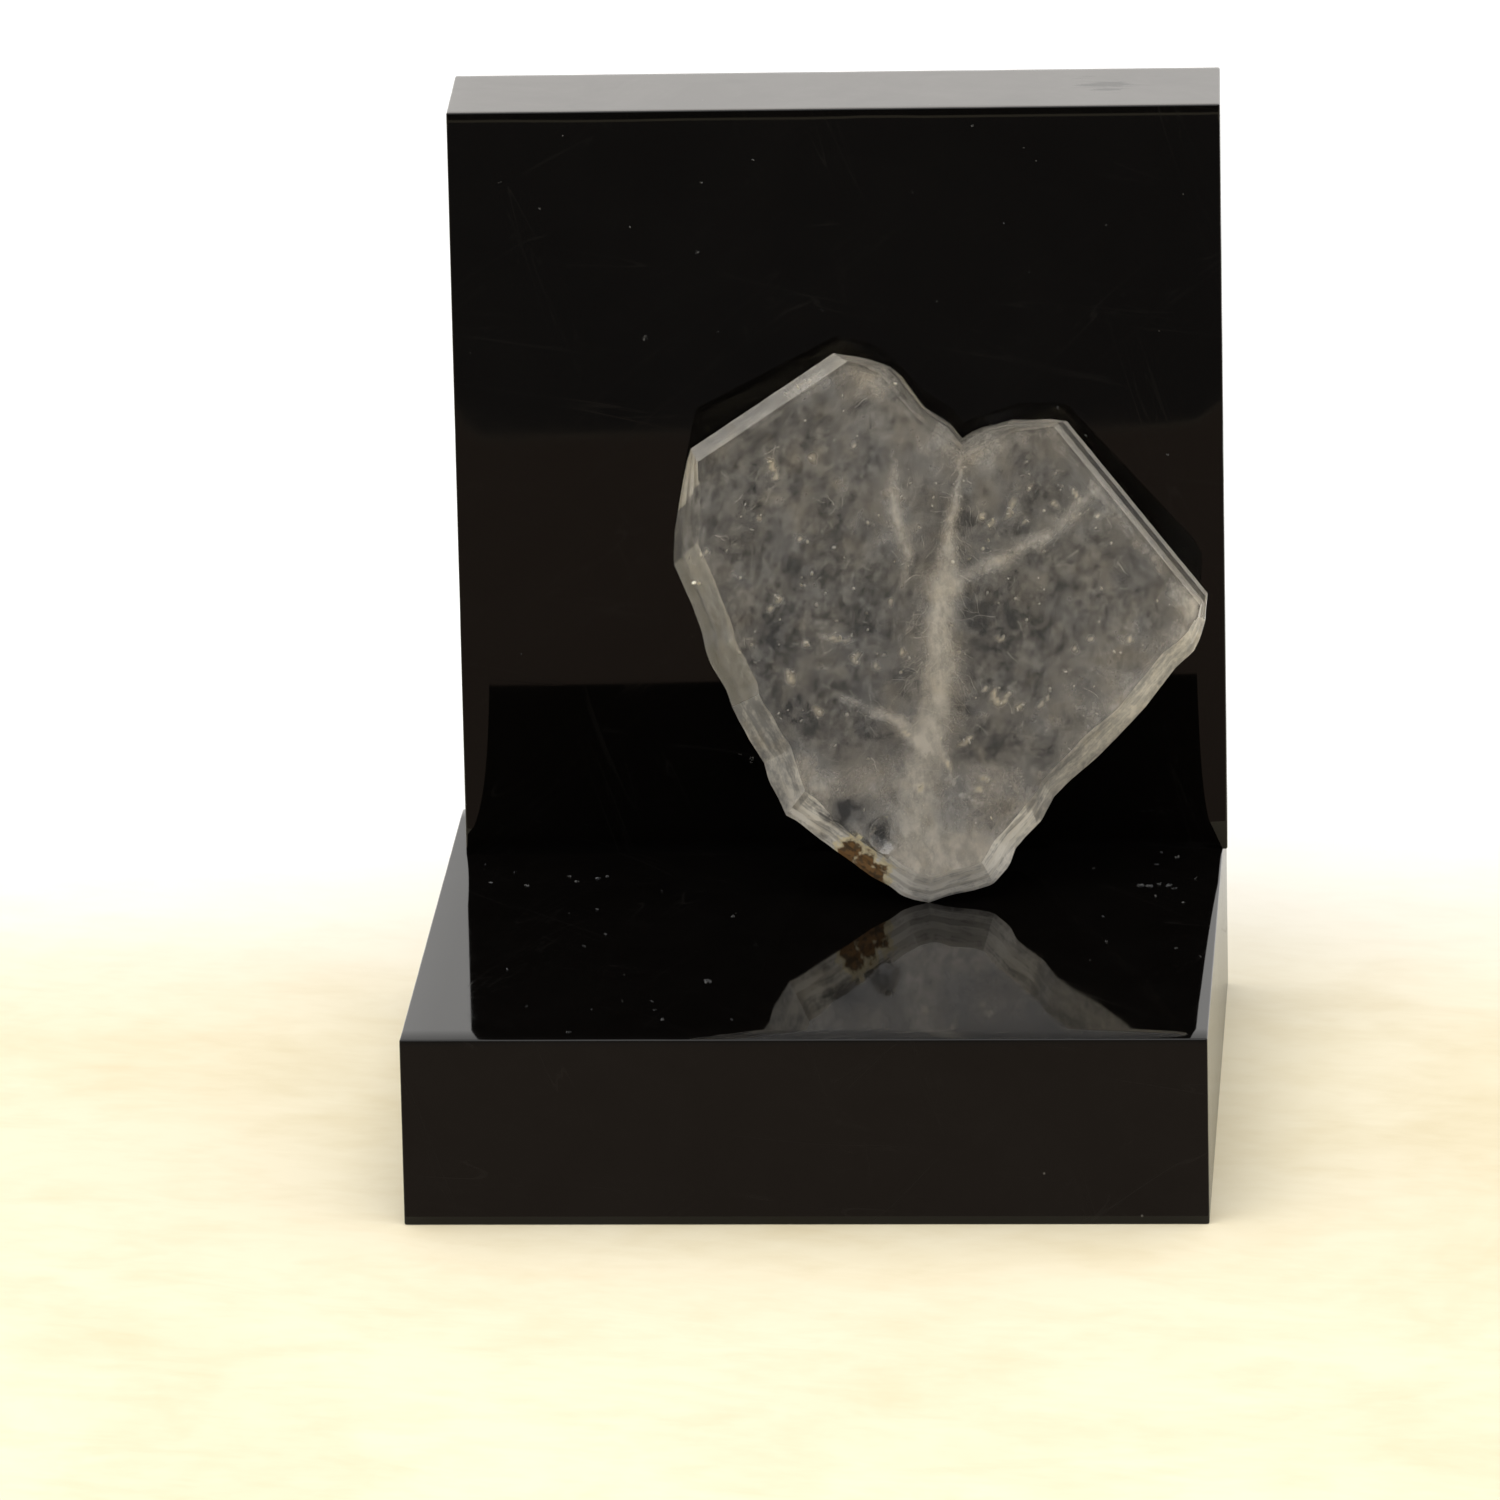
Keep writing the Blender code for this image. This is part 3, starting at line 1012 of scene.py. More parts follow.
# The bands of haze along the right chisel end and round the foot.
BANDS = (
    Veil(((7.2, 23.6, 0.8, 0.22), (14.0, 14.5, 0.9, 0.3))),
    Veil(((-9.0, 9.6, 0.3, 0.1), (-7.6, 7.2, 0.5, 0.3), (-6.6, 5.2, 0.6, 0.45),
          (-4.2, 3.2, 0.6, 0.5), (-1.9, 1.6, 0.6, 0.5), (0.1, 0.8, 0.6, 0.55),
          (3.0, 1.3, 0.6, 0.55), (5.4, 4.2, 0.8, 0.55), (8.8, 7.6, 0.8, 0.5),
          (13.0, 12.0, 0.8, 0.5), (14.3, 13.8, 0.5, 0.4))),
)
# Milky clouds as (x, y, half width, half height, strength); a negative one is a clear window.
CLOUDS = (
    (0.6, 2.3, 3.9, 1.9, 0.55), (3.6, 2.7, 1.9, 1.3, 0.25), (-5.9, 6.4, 1.5, 1.7, 0.5),
    (3.8, 5.9, 1.8, 1.1, 0.42), (-3.2, 6.4, 2.4, 1.4, 0.28), (-0.5, 20.0, 1.6, 3.5, 0.12),
    (3.6, 22.9, 1.4, 1.0, 0.25), (0.9, 1.6, 3.2, 1.1, 0.25), (-2.0, 27.0, 2.2, 0.9, 0.22),
    (-4.13, 4.9, 0.7, 0.6, -0.6),
    (-2.24, 3.4, 0.7, 0.9, -0.6), (-1.91, 8.6, 0.8, 0.7, -0.15), (3.2, 7.5, 1.3, 0.7, -0.1),
    (-5.6, 17.6, 1.2, 0.9, -0.1), (9.5, 12.0, 2.5, 2.5, 0.12), (14.2, 15.0, 0.9, 1.6, 0.5),
    (-10.9, 16.9, 0.6, 1.0, 0.25), (-5.4, 26.6, 1.2, 0.6, 0.3), (10.2, 9.4, 3.2, 0.9, 0.2),
    (-7.6, 13.6, 1.5, 2.0, -0.1), (5.0, 13.6, 2.6, 2.0, -0.12), (-3.5, 15.5, 1.8, 1.5, -0.1),
    (-6.0, 9.0, 1.0, 1.2, -0.15), (-4.6, 7.2, 1.2, 0.9, -0.22), (2.0, 23.4, 1.6, 0.9, 0.25),
    (5.2, 24.2, 1.3, 0.6, 0.3), (-9.0, 10.0, 0.8, 1.1, 0.3), (-8.0, 8.4, 0.8, 1.0, 0.35),
)
# The larger pale flecks as (x, y, length, width, heading clockwise from straight up in degrees).
FLECKS = (
    (-0.75, 26.36, 0.34, 0.26, 0), (-5.24, 26.74, 1.1, 0.30, 62), (-6.2, 26.2, 0.5, 0.22, 62),
    (-5.04, 22.9, 0.36, 0.26, 0), (-2.92, 23.43, 0.2, 0.2, 0), (-7.1, 22.55, 0.85, 0.14, 152),
    (-6.9, 22.0, 0.3, 0.2, 60), (-10.6, 18.33, 0.26, 0.2, 20), (-11.02, 16.81, 0.2, 0.6, 0),
    (-7.51, 15.25, 0.28, 0.2, 0), (-7.09, 15.69, 0.4, 0.34, 30), (-5.8, 13.39, 0.3, 0.22, 0),
    (-4.2, 13.6, 1.1, 0.08, 98), (-3.33, 12.63, 0.42, 0.3, 30), (-2.22, 12.12, 0.4, 0.25, 120),
    (-3.29, 12.42, 0.4, 0.25, 110), (-0.87, 12.78, 0.25, 0.2, 0), (-6.64, 11.74, 0.5, 0.36, 160),
    (-5.28, 9.95, 0.42, 0.24, 140), (-1.32, 15.4, 0.3, 0.2, 0), (5.08, 20.1, 0.6, 0.24, 30),
    (3.57, 19.5, 0.3, 0.2, 0), (5.66, 19.16, 0.3, 0.18, 40), (4.97, 19.8, 0.7, 0.16, 28),
    (5.99, 20.89, 0.35, 0.14, 40), (8.38, 20.48, 0.7, 0.14, 150), (7.23, 20.02, 0.4, 0.16, 120),
    (9.41, 19.32, 0.3, 0.16, 140), (3.97, 19.18, 0.4, 0.16, 60), (7.99, 12.58, 0.25, 0.2, 0),
    (4.17, 13.24, 0.3, 0.18, 100), (8.78, 13.06, 0.2, 0.16, 0), (10.83, 12.97, 0.25, 0.2, 0),
    (3.3, 10.73, 0.3, 0.16, 60), (5.05, 9.79, 0.5, 0.24, 60), (6.08, 9.85, 0.36, 0.18, 45),
    (6.45, 10.14, 0.24, 0.12, 45), (2.21, 8.11, 0.7, 0.2, 62), (1.24, 6.88, 0.5, 0.1, 160),
    (3.1, 6.14, 0.5, 0.16, 110), (2.72, 5.64, 0.4, 0.12, 95), (14.27, 15.39, 0.3, 0.24, 140),
    (3.85, 10.04, 0.55, 0.08, 125), (4.32, 10.22, 0.85, 0.09, 35), (3.72, 10.45, 0.5, 0.07, 20),
    (13.6, 16.6, 0.25, 0.18, 140), (9.18, 8.09, 0.3, 0.18, 45), (-0.24, 5.77, 0.3, 0.2, 0),
    (-0.89, 8.6, 0.4, 0.14, 120), (-5.83, 18.75, 0.25, 0.14, 60), (-7.83, 19.85, 0.2, 0.14, 0),
)


def fleck_at(x: float, y: float) -> float:
    """How much of a pale fleck is at a point, from 0 to 1, with an uneven outline.

    Args:
        x: the point's place across the specimen.
        y: its place up the specimen.

    Returns:
        The share.
    """
    x += 0.14 * ripple(x, y, 3.1, 0.0)
    y += 0.14 * ripple(x, y, 3.1, 8.0)
    most = 0.0
    for fx, fy, length, width, heading in FLECKS:
        if max(abs(x - fx), abs(y - fy)) < 1.2 * length + 0.4:
            turn = math.radians(heading)
            run = (x - fx) * math.sin(turn) + (y - fy) * math.cos(turn)
            across = (x - fx) * math.cos(turn) - (y - fy) * math.sin(turn)
            far = (run / (0.6 * length)) ** 2 + (across / (0.6 * max(width, 0.2))) ** 2
            most = max(most, math.exp(-far))
    return most


def clouds_at(x: float, y: float) -> float:
    """How milky the clouds alone make a point, below 0 in a clear window.

    Args:
        x: the point's place across.
        y: its place upwards.

    Returns:
        The clouds' strengths there, added up.
    """
    total = 0.0
    for cx, cy, wide, high, strength in CLOUDS:
        total += strength * math.exp(-(((x - cx) / wide) ** 2) - ((y - cy) / high) ** 2)
    return total


def milk_at(x: float, y: float) -> float:
    """How milky the specimen is at a point, up to 1, and below 0 in a clear window.

    Args:
        x: the point's place across the specimen.
        y: its place up the specimen.

    Returns:
        The milkiness.
    """
    total = clouds_at(x, y) + sum(veil.at(x, y)[0] for veil in (SEAM, *WISPS, *BANDS))
    return min(1.0, max(-0.4, total))


@dataclass(frozen=True)
class TwinCrystal:
    """The body of the specimen: two flat crystals grown together, with their side faces."""

    name: str = "quartz_twin_crystal"
    node: str = "quartz_twin"
    spacing: float = 0.28
    fill_spacing: float = 0.3
    chisel_slope: float = math.radians(38.2)
    nearly_straight: float = math.radians(12)
    # How near the finely drawn rim has to be, and the longest side that it has.
    snap: float = 0.45
    longest_side: float = 6.0
    # Where the rows of a side face lie between the ridge and a main face, and how far each of
    # them stands out or in, as the small growth steps that run along it.
    rows: tuple = ((0.14, 0.022), (0.3, -0.012), (0.46, 0.018), (0.64, -0.014), (0.84, 0.014))
    # Growth steps as (crystal, inset from its ridge, drop of the front face).
    steps: tuple = ((LEFT, 1.65, 0.1), (RIGHT, 1.45, 0.1), (RIGHT, 0.45, 0.55))
    # How far the front rim of a worn side face wanders.
    wander: float = 0.16
    # Where the rows lie between the ridge and the back face.
    back_rows: tuple = (0.35, 0.7)
    # How frosted the side faces are: chalky round the foot, worn over it, and faint above; the chalky and
    # the worn levels are also painted light, which brightens the low faces and the foot where they lie in
    # shade.
    chalky_frost_and_painted_light: float = 3.2
    worn_frost_and_painted_light: float = 1.6
    faint_frost: float = 1.0
    # Over these levels a face takes the worn or the chalky finish, which paints light onto the low faces
    # and the foot.
    chalky_and_painted_light_over: float = 2.5
    worn_and_painted_light_over: float = 1.2
    foot_top: float = 4.4
    worn_and_painted_light_top_left: float = 9.9
    worn_and_painted_light_top_right: float = 14.2
    main_face: float = 0.93
    scoop_wall: float = 0.22
    # Shell-shaped breaks in the foot, as (x, y, z, radius, frost) of the balls that leave them; the frost
    # of the back ones is the chalky level, which is partly painted light.
    scoops: tuple = (
        (-3.9, 4.7, FRONT_Z + 1.15, 1.5, 0.0), (-2.3, 3.3, FRONT_Z + 0.8, 1.2, 0.0),
        (-5.3, 3.4, FRONT_Z - THICKNESS - 0.8, 1.5, chalky_frost_and_painted_light),
        (3.9, 2.6, FRONT_Z - THICKNESS - 0.9, 1.7, chalky_frost_and_painted_light),
    )
    # How uneven the balls are, and their scale on each axis.
    scoop_swell: float = 0.16
    scoop_shape: tuple = (1.25, 0.8, 1.0, 1.0)
    overrun: float = 1.5
    # Points this near are welded, and faces this even are joined.
    weld: float = 2e-3
    even: float = math.radians(0.2)
    # A face larger than this, or with more corners, gets a fine mesh: its rows' distance, its
    # points' scatter and their distance from the rim are shares of the spacing.
    large_area: float = 0.8
    large_corners: int = 8
    rim_pitch: float = 1.6
    row_pitch: float = 0.866
    jitter: float = 0.2
    off_rim: float = 0.62
    sharp_angle: float = math.radians(11)
    waviness: float = 0.02
    etching: float = 0.0015

    def build(self, clear: Material, worn_and_painted_light: Material,
              chalky_and_painted_light: Material) -> Object:
        """Builds the crystal.

        Args:
            clear: the finish of its faces.
            worn_and_painted_light: the finish of the low side faces, frosted and painted brighter as
                painted light.
            chalky_and_painted_light: the finish of the broken faces round its foot, frosted and painted
                brighter as painted light.

        Returns:
            The finished piece.
        """
        blank = link("crystal blank", mesh_from("crystal blank", self._blank()))
        for index, step in enumerate(self.steps):
            self._cut(blank, f"growth step {index}", self._step_mesh(*step))
        for index, scoop in enumerate(self.scoops):
            self._cut(blank, f"scoop {index}", self._scoop_mesh(*scoop[:4]))
        graph = bpy.context.evaluated_depsgraph_get()
        cut = bpy.data.meshes.new_from_object(blank.evaluated_get(graph))
        cutters = [modifier.object for modifier in blank.modifiers]
        for leftover in (blank, *cutters):
            bpy.data.objects.remove(leftover)
        bm = bmesh.new()
        bm.from_mesh(cut)
        self._refine(bm)
        self._roughen(bm)
        self._mark(bm)
        bm.transform(SPECIMEN.matrix)
        piece = link(self.name, mesh_from(self.name, bm))
        for finish in (clear, worn_and_painted_light, chalky_and_painted_light):
            piece.data.materials.append(finish)
        finish_piece(piece, Slot.QUARTZ, self.node)
        return piece

    def _offset(self, before: Corner, here: Corner, after: Corner, height: float) -> Vector:
        """Where the faces on both sides of a corner meet the main face this high over the ridge.

        Args:
            before: the corner before it.
            here: the corner.
            after: the corner after it.
            height: the main face's height over the ridge.

        Returns:
            The point on the main face.
        """
        first = inwards((here.point - before.point).normalized())
        second = inwards((after.point - here.point).normalized())
        a, b = before.faces.inset(height), here.faces.inset(height)
        turn = first.cross(second)
        if abs(turn) < math.sin(self.nearly_straight):
            return here.point + (first + second).normalized() * (a + b) / 2
        shift = Vector((a * second.y - b * first.y, b * first.x - a * second.x))
        return here.point + shift / turn

    def _on_rim(self, point: Vector) -> Vector:
        """The nearest point of the finely drawn rim, if it is near enough.

        Args:
            point: a point of the outline.

        Returns:
            The point on the rim, or the given one.
        """
        best, least = point, self.snap
        for start, end in zip(RIM_DETAIL, RIM_DETAIL[1:]):
            a, run = Vector(start), Vector(end) - Vector(start)
            if run.length > self.longest_side:
                continue
            found = a + run * share_along(point, a, run)
            if (found - point).length < least:
                best, least = found, (found - point).length
        return best

    def _blank(self) -> BMesh:
        """The specimen before its steps and breaks are cut, in millimetres.

        Returns:
            The closed mesh.
        """
        bm = bmesh.new()
        count = len(OUTLINE)
        fronts, backs = [], []
        for index, here in enumerate(OUTLINE):
            before, after = OUTLINE[index - 1], OUTLINE[(index + 1) % count]
            fronts.append(self._offset(before, here, after, here.depth))
            backs.append(self._offset(before, here, after, THICKNESS - here.depth))
        columns = []
        for index, here in enumerate(OUTLINE):
            following = (index + 1) % count
            after = OUTLINE[following]
            run = after.point - here.point
            parts = max(1, round(run.length / self.spacing))
            for part in range(parts):
                share = part / parts
                ridge = here.point.lerp(after.point, share)
                if here.faces is not Faces.CHISEL and OUTLINE[index - 1].faces is not Faces.CHISEL:
                    ridge = self._on_rim(ridge)
                depth = here.depth + (after.depth - here.depth) * share
                front = fronts[index].lerp(fronts[following], share)
                back = backs[index].lerp(backs[following], share)
                columns.append(self._column(here.faces, ridge, depth, front, back))
        rows = [[bm.verts.new(point) for point in column] for column in columns]
        for row, following in zip(rows, [*rows[1:], rows[0]]):
            for level in range(len(row) - 1):
                bm.faces.new((row[level], following[level], following[level + 1], row[level + 1]))
        bm.faces.new([row[0] for row in rows])
        bm.faces.new([row[-1] for row in rows])
        bmesh.ops.recalc_face_normals(bm, faces=bm.faces)
        for crystal in (LEFT, RIGHT):
            self._end_in_chisel(bm, crystal)
        return bm

    def _column(self, faces: Faces, ridge: Vector, depth: float, front: Vector,
                back: Vector) -> list[Vector]:
        """The points of the side faces from the front face over the ridge to the back face.

        Args:
            faces: the kind of side face.
            ridge: the point on the ridge.
            depth: the ridge's depth below the front face.
            front: the point on the front face.
            back: the point on the back face.

        Returns:
            The points from front to back.
        """
        wander = 0.0
        if faces in (Faces.PRISM, Faces.BROKEN):
            wander = self.wander * ripple(ridge.x, ridge.y, 0.8, 3.0)
        to_ridge = (ridge - front).normalized() if (ridge - front).length > 0.01 else Vector((0, 0))
        front = front + to_ridge * wander
        points = [Vector((*front, FRONT_Z))]
        for share, stand in reversed(self.rows):
            stand = 0.0 if faces is Faces.CHISEL else stand
            flat = ridge.lerp(front, share) + to_ridge * stand
            points.append(Vector((*flat, FRONT_Z - depth * (1 - share) + stand)))
        points.append(Vector((*ridge, FRONT_Z - depth)))
        for share in self.back_rows:
            flat = ridge.lerp(back, share)
            points.append(Vector((*flat, FRONT_Z - depth - (THICKNESS - depth) * share)))
        points.append(Vector((*back, FRONT_Z - THICKNESS)))
        return points

    def _end_in_chisel(self, bm: BMesh, crystal: Crystal) -> None:
        """Cuts a crystal's end wall away by two faces that meet in its ridge.

        Args:
            bm: the specimen's mesh.
            crystal: the crystal to end.
        """
        outwards = -inwards(crystal.ridge) * math.sin(self.chisel_slope)
        ridge = Vector((*crystal.ridge_start, FRONT_Z - RIDGE_DEPTH))
        for side in (1.0, -1.0):
            everything = [*bm.verts, *bm.edges, *bm.faces]
            normal = Vector((*outwards, side * math.cos(self.chisel_slope)))
            bmesh.ops.bisect_plane(
                bm, geom=everything, dist=1e-4, plane_co=ridge, plane_no=normal, clear_outer=True
            )
            bmesh.ops.holes_fill(bm, edges=[edge for edge in bm.edges if edge.is_boundary])

    def _step_mesh(self, crystal: Crystal, inset: float, drop: float) -> BMesh:
        """The bar that is cut away along a chisel ridge to leave a growth step.

        Args:
            crystal: the crystal that has the step.
            inset: how far from the ridge the step lies.
            drop: how much lower the front face is outside it.

        Returns:
            The bar.
        """
        ridge, inner = crystal.ridge, inwards(crystal.ridge)
        bm = bmesh.new()
        bmesh.ops.create_cube(bm, size=1.0)
        for vertex in bm.verts:
            run = crystal.length + self.overrun if vertex.co.x > 0 else -self.overrun
            across = inset if vertex.co.y > 0 else -self.overrun
            up = self.overrun if vertex.co.z > 0 else -drop
            vertex.co = Vector((*(crystal.ridge_start + ridge * run + inner * across), FRONT_Z + up))
        return bm

    def _scoop_mesh(self, x: float, y: float, z: float, radius: float) -> BMesh:
        """The uneven ball whose hollow is a shell-shaped break.

        Args:
            x: the ball's place on the specimen.
            y: the same, upwards.
            z: the same, out of the front face.
            radius: the ball's size.

        Returns:
            The ball's mesh.
        """
        bm = bmesh.new()
        bmesh.ops.create_icosphere(bm, subdivisions=4, radius=radius)
        for vertex in bm.verts:
            swell = noise.fractal(vertex.co * 0.9 + Vector((x, y, z)), 1.0, 2.0, 3)
            vertex.co *= 1.0 + self.scoop_swell * swell
        turn = Matrix.Translation((x, y, z)) @ Matrix.Rotation(0.7 * x, 4, "Z")
        bm.transform(turn @ Matrix.Diagonal(self.scoop_shape))
        return bm

    @staticmethod
    def _cut(target: Object, name: str, bm: BMesh) -> None:
        """Cuts a shape from the target by a Boolean.

        Args:
            target: what is cut.
            name: the cutter's name.
            bm: the cutter's mesh.
        """
        bmesh.ops.recalc_face_normals(bm, faces=bm.faces)
        cutter = link(name, mesh_from(name, bm))
        boolean = target.modifiers.new(name, "BOOLEAN")
        boolean.object = cutter
        boolean.operation = "DIFFERENCE"
        boolean.solver = "EXACT"

    def _refine(self, bm: BMesh) -> None:
        """Gives every large flat face a fine, even mesh without moving its rim.

        Args:
            bm: the specimen's mesh.
        """
        bmesh.ops.remove_doubles(bm, verts=bm.verts, dist=self.weld)
        bmesh.ops.dissolve_limit(bm, angle_limit=self.even, verts=bm.verts, edges=bm.edges)
        bm.normal_update()
        # Each face's level of frosting, raised as painted light on the low faces and the foot.
        frost_and_painted_light_level = bm.faces.layers.float.new("frost_and_painted_light_level")
        for face in bm.faces:
            face[frost_and_painted_light_level] = self._frost_with_painted_light(face)
        for edge in list(bm.edges):
            start = edge.verts[0]
            parts = math.ceil(edge.calc_length() / (self.rim_pitch * self.spacing))
            for left in range(parts, 1, -1):
                _, start = bmesh.utils.edge_split(edge, start, 1.0 / left)
        bm.normal_update()
        for face in list(bm.faces):
            if face.calc_area() > self.large_area or len(face.verts) > self.large_corners:
                self._fill(bm, face)
        bmesh.ops.triangulate(bm, faces=[face for face in bm.faces if len(face.verts) > 4])
        bm.normal_update()

    def _fill(self, bm: BMesh, face: BMFace) -> None:
        """Replaces a flat face by fine triangles that keep its rim.

        Args:
            bm: the specimen's mesh.
            face: the face.
        """
        normal, origin = face.normal.copy(), face.verts[0].co.copy()
        frost_and_painted_light_level = bm.faces.layers.float["frost_and_painted_light_level"]
        worn_and_painted_light = face[frost_and_painted_light_level]
        across = normal.orthogonal().normalized()
        up = normal.cross(across)
        rim = list(face.verts)
        places = [Vector(((v.co - origin).dot(across), (v.co - origin).dot(up))) for v in rim]
        near = kdtree.KDTree(len(places))
        for index, place in enumerate(places):
            near.insert((*place, 0.0), index)
        near.balance()
        low = [min(place[axis] for place in places) for axis in (0, 1)]
        high = [max(place[axis] for place in places) for axis in (0, 1)]
        draw = random.Random(SEED)
        coords = list(places)
        pitch = self.fill_spacing
        stray = self.jitter
        for row in range(int((high[1] - low[1]) / (pitch * self.row_pitch)) + 1):
            for column in range(int((high[0] - low[0]) / pitch) + 1):
                x = low[0] + (column + 0.5 * (row % 2)) * pitch + draw.uniform(-stray, stray) * pitch
                y = low[1] + row * pitch * self.row_pitch + draw.uniform(-stray, stray) * pitch
                if near.find((x, y, 0.0))[2] > self.off_rim * pitch:
                    coords.append(Vector((x, y)))
        ring = list(range(len(rim)))
        found, _, faces, came_from, _, _ = geometry.delaunay_2d_cdt(coords, [], [ring], 1, 1e-6)
        if any(not origins for origins in came_from):
            return
        bm.faces.remove(face)
        verts: dict[int, BMVert] = {}
        for triangle in faces:
            for index in triangle:
                if index in verts:
                    continue
                source = next((o for o in came_from[index] if o < len(rim)), None)
                if source is not None:
                    verts[index] = rim[source]
                    continue
                place = found[index]
                verts[index] = bm.verts.new(origin + across * place.x + up * place.y)
            corners = [verts[index] for index in triangle]
            if len(set(corners)) == 3 and bm.faces.get(corners) is None:
                bm.faces.new(corners)[frost_and_painted_light_level] = worn_and_painted_light

    def _roughen(self, bm: BMesh) -> None:
        """Marks the sharp edges, then gives the faces their faint waves and etching.

        Args:
            bm: the specimen's mesh.
        """
        for edge in bm.edges:
            edge.smooth = edge.calc_face_angle(0.0) < self.sharp_angle
        for face in bm.faces:
            face.smooth = True
        normals = [vertex.normal.copy() for vertex in bm.verts]
        for vertex, normal in zip(bm.verts, normals):
            side = 1.0 - abs(normal.z)
            wave = noise.noise(vertex.co * 0.35) * self.waviness
            etched = noise.fractal(vertex.co * 1.7, 1.0, 2.0, 3) * self.etching * (1 + 6 * side)
            vertex.co += normal * (wave * (1 - 0.6 * side) + etched)

    def _mark(self, bm: BMesh) -> None:
        """Stores how milky, how frosted and how near an edge each place is, for the finish; the frosting
        is raised as painted light on the low faces and the foot, and the edge mark is a painted highlight.

        Args:
            bm: the specimen's mesh.
        """
        milk = bm.verts.layers.float.new("milk")
        rim = bm.verts.layers.float.new("rim")
        frost_and_painted_light = bm.loops.layers.float.new("frost_and_painted_light")
        edge = bm.loops.layers.float.new("edge")
        for vertex in bm.verts:
            vertex[milk] = milk_at(vertex.co.x, vertex.co.y)
            vertex[rim] = rim_distance(vertex.co.x, vertex.co.y)[0]
        frost_and_painted_light_level = bm.faces.layers.float["frost_and_painted_light_level"]
        for face in bm.faces:
            steep = face[frost_and_painted_light_level]
            # The worn and the chalky finishes paint light onto the low faces and the foot, which lie in
            # shade.
            face.material_index = int(steep > self.worn_and_painted_light_over) + int(steep > self.chalky_and_painted_light_over)
            for loop in face.loops:
                loop[frost_and_painted_light] = steep
                # Where a frosted face meets a sharp edge, for the painted edge highlight.
                on_edge = steep > 0.5 and any(not side.smooth for side in loop.vert.link_edges)
                loop[edge] = float(on_edge)

    def _frost_with_painted_light(self, face: BMFace) -> float:
        """How frosted a face is: the side faces are, the main faces and fresh breaks aren't; the low side
        faces and the foot get more, as painted light for the shade they lie in.

        Args:
            face: the face.

        Returns:
            Its level of frosting, from 0 to the chalkiest, which is partly painted light low down.
        """
        place = face.calc_center_median()
        for x, y, z, radius, frost_and_painted_light in self.scoops:
            if abs((place - Vector((x, y, z))).length - radius) < self.scoop_wall:
                return frost_and_painted_light
        if abs(face.normal.z) > self.main_face:
            return 0.0
        side = rim_distance(*place.xy)[2]
        # Painted light as well as frosting: the foot and the low side faces get the higher levels.
        if side.y < self.foot_top:
            return self.chalky_frost_and_painted_light
        worn_and_painted_light_top = self.worn_and_painted_light_top_right if side.x > 1.0 else self.worn_and_painted_light_top_left
        return self.worn_frost_and_painted_light if side.y < worn_and_painted_light_top else self.faint_frost


# ---- What lies inside the crystal and on the stand, scattered by Geometry Nodes ----


class Grain(Enum):
    """The closed shapes that are strewn."""

    CRUMB = "crumb"
    FLAKE = "flake"
    THREAD = "thread"


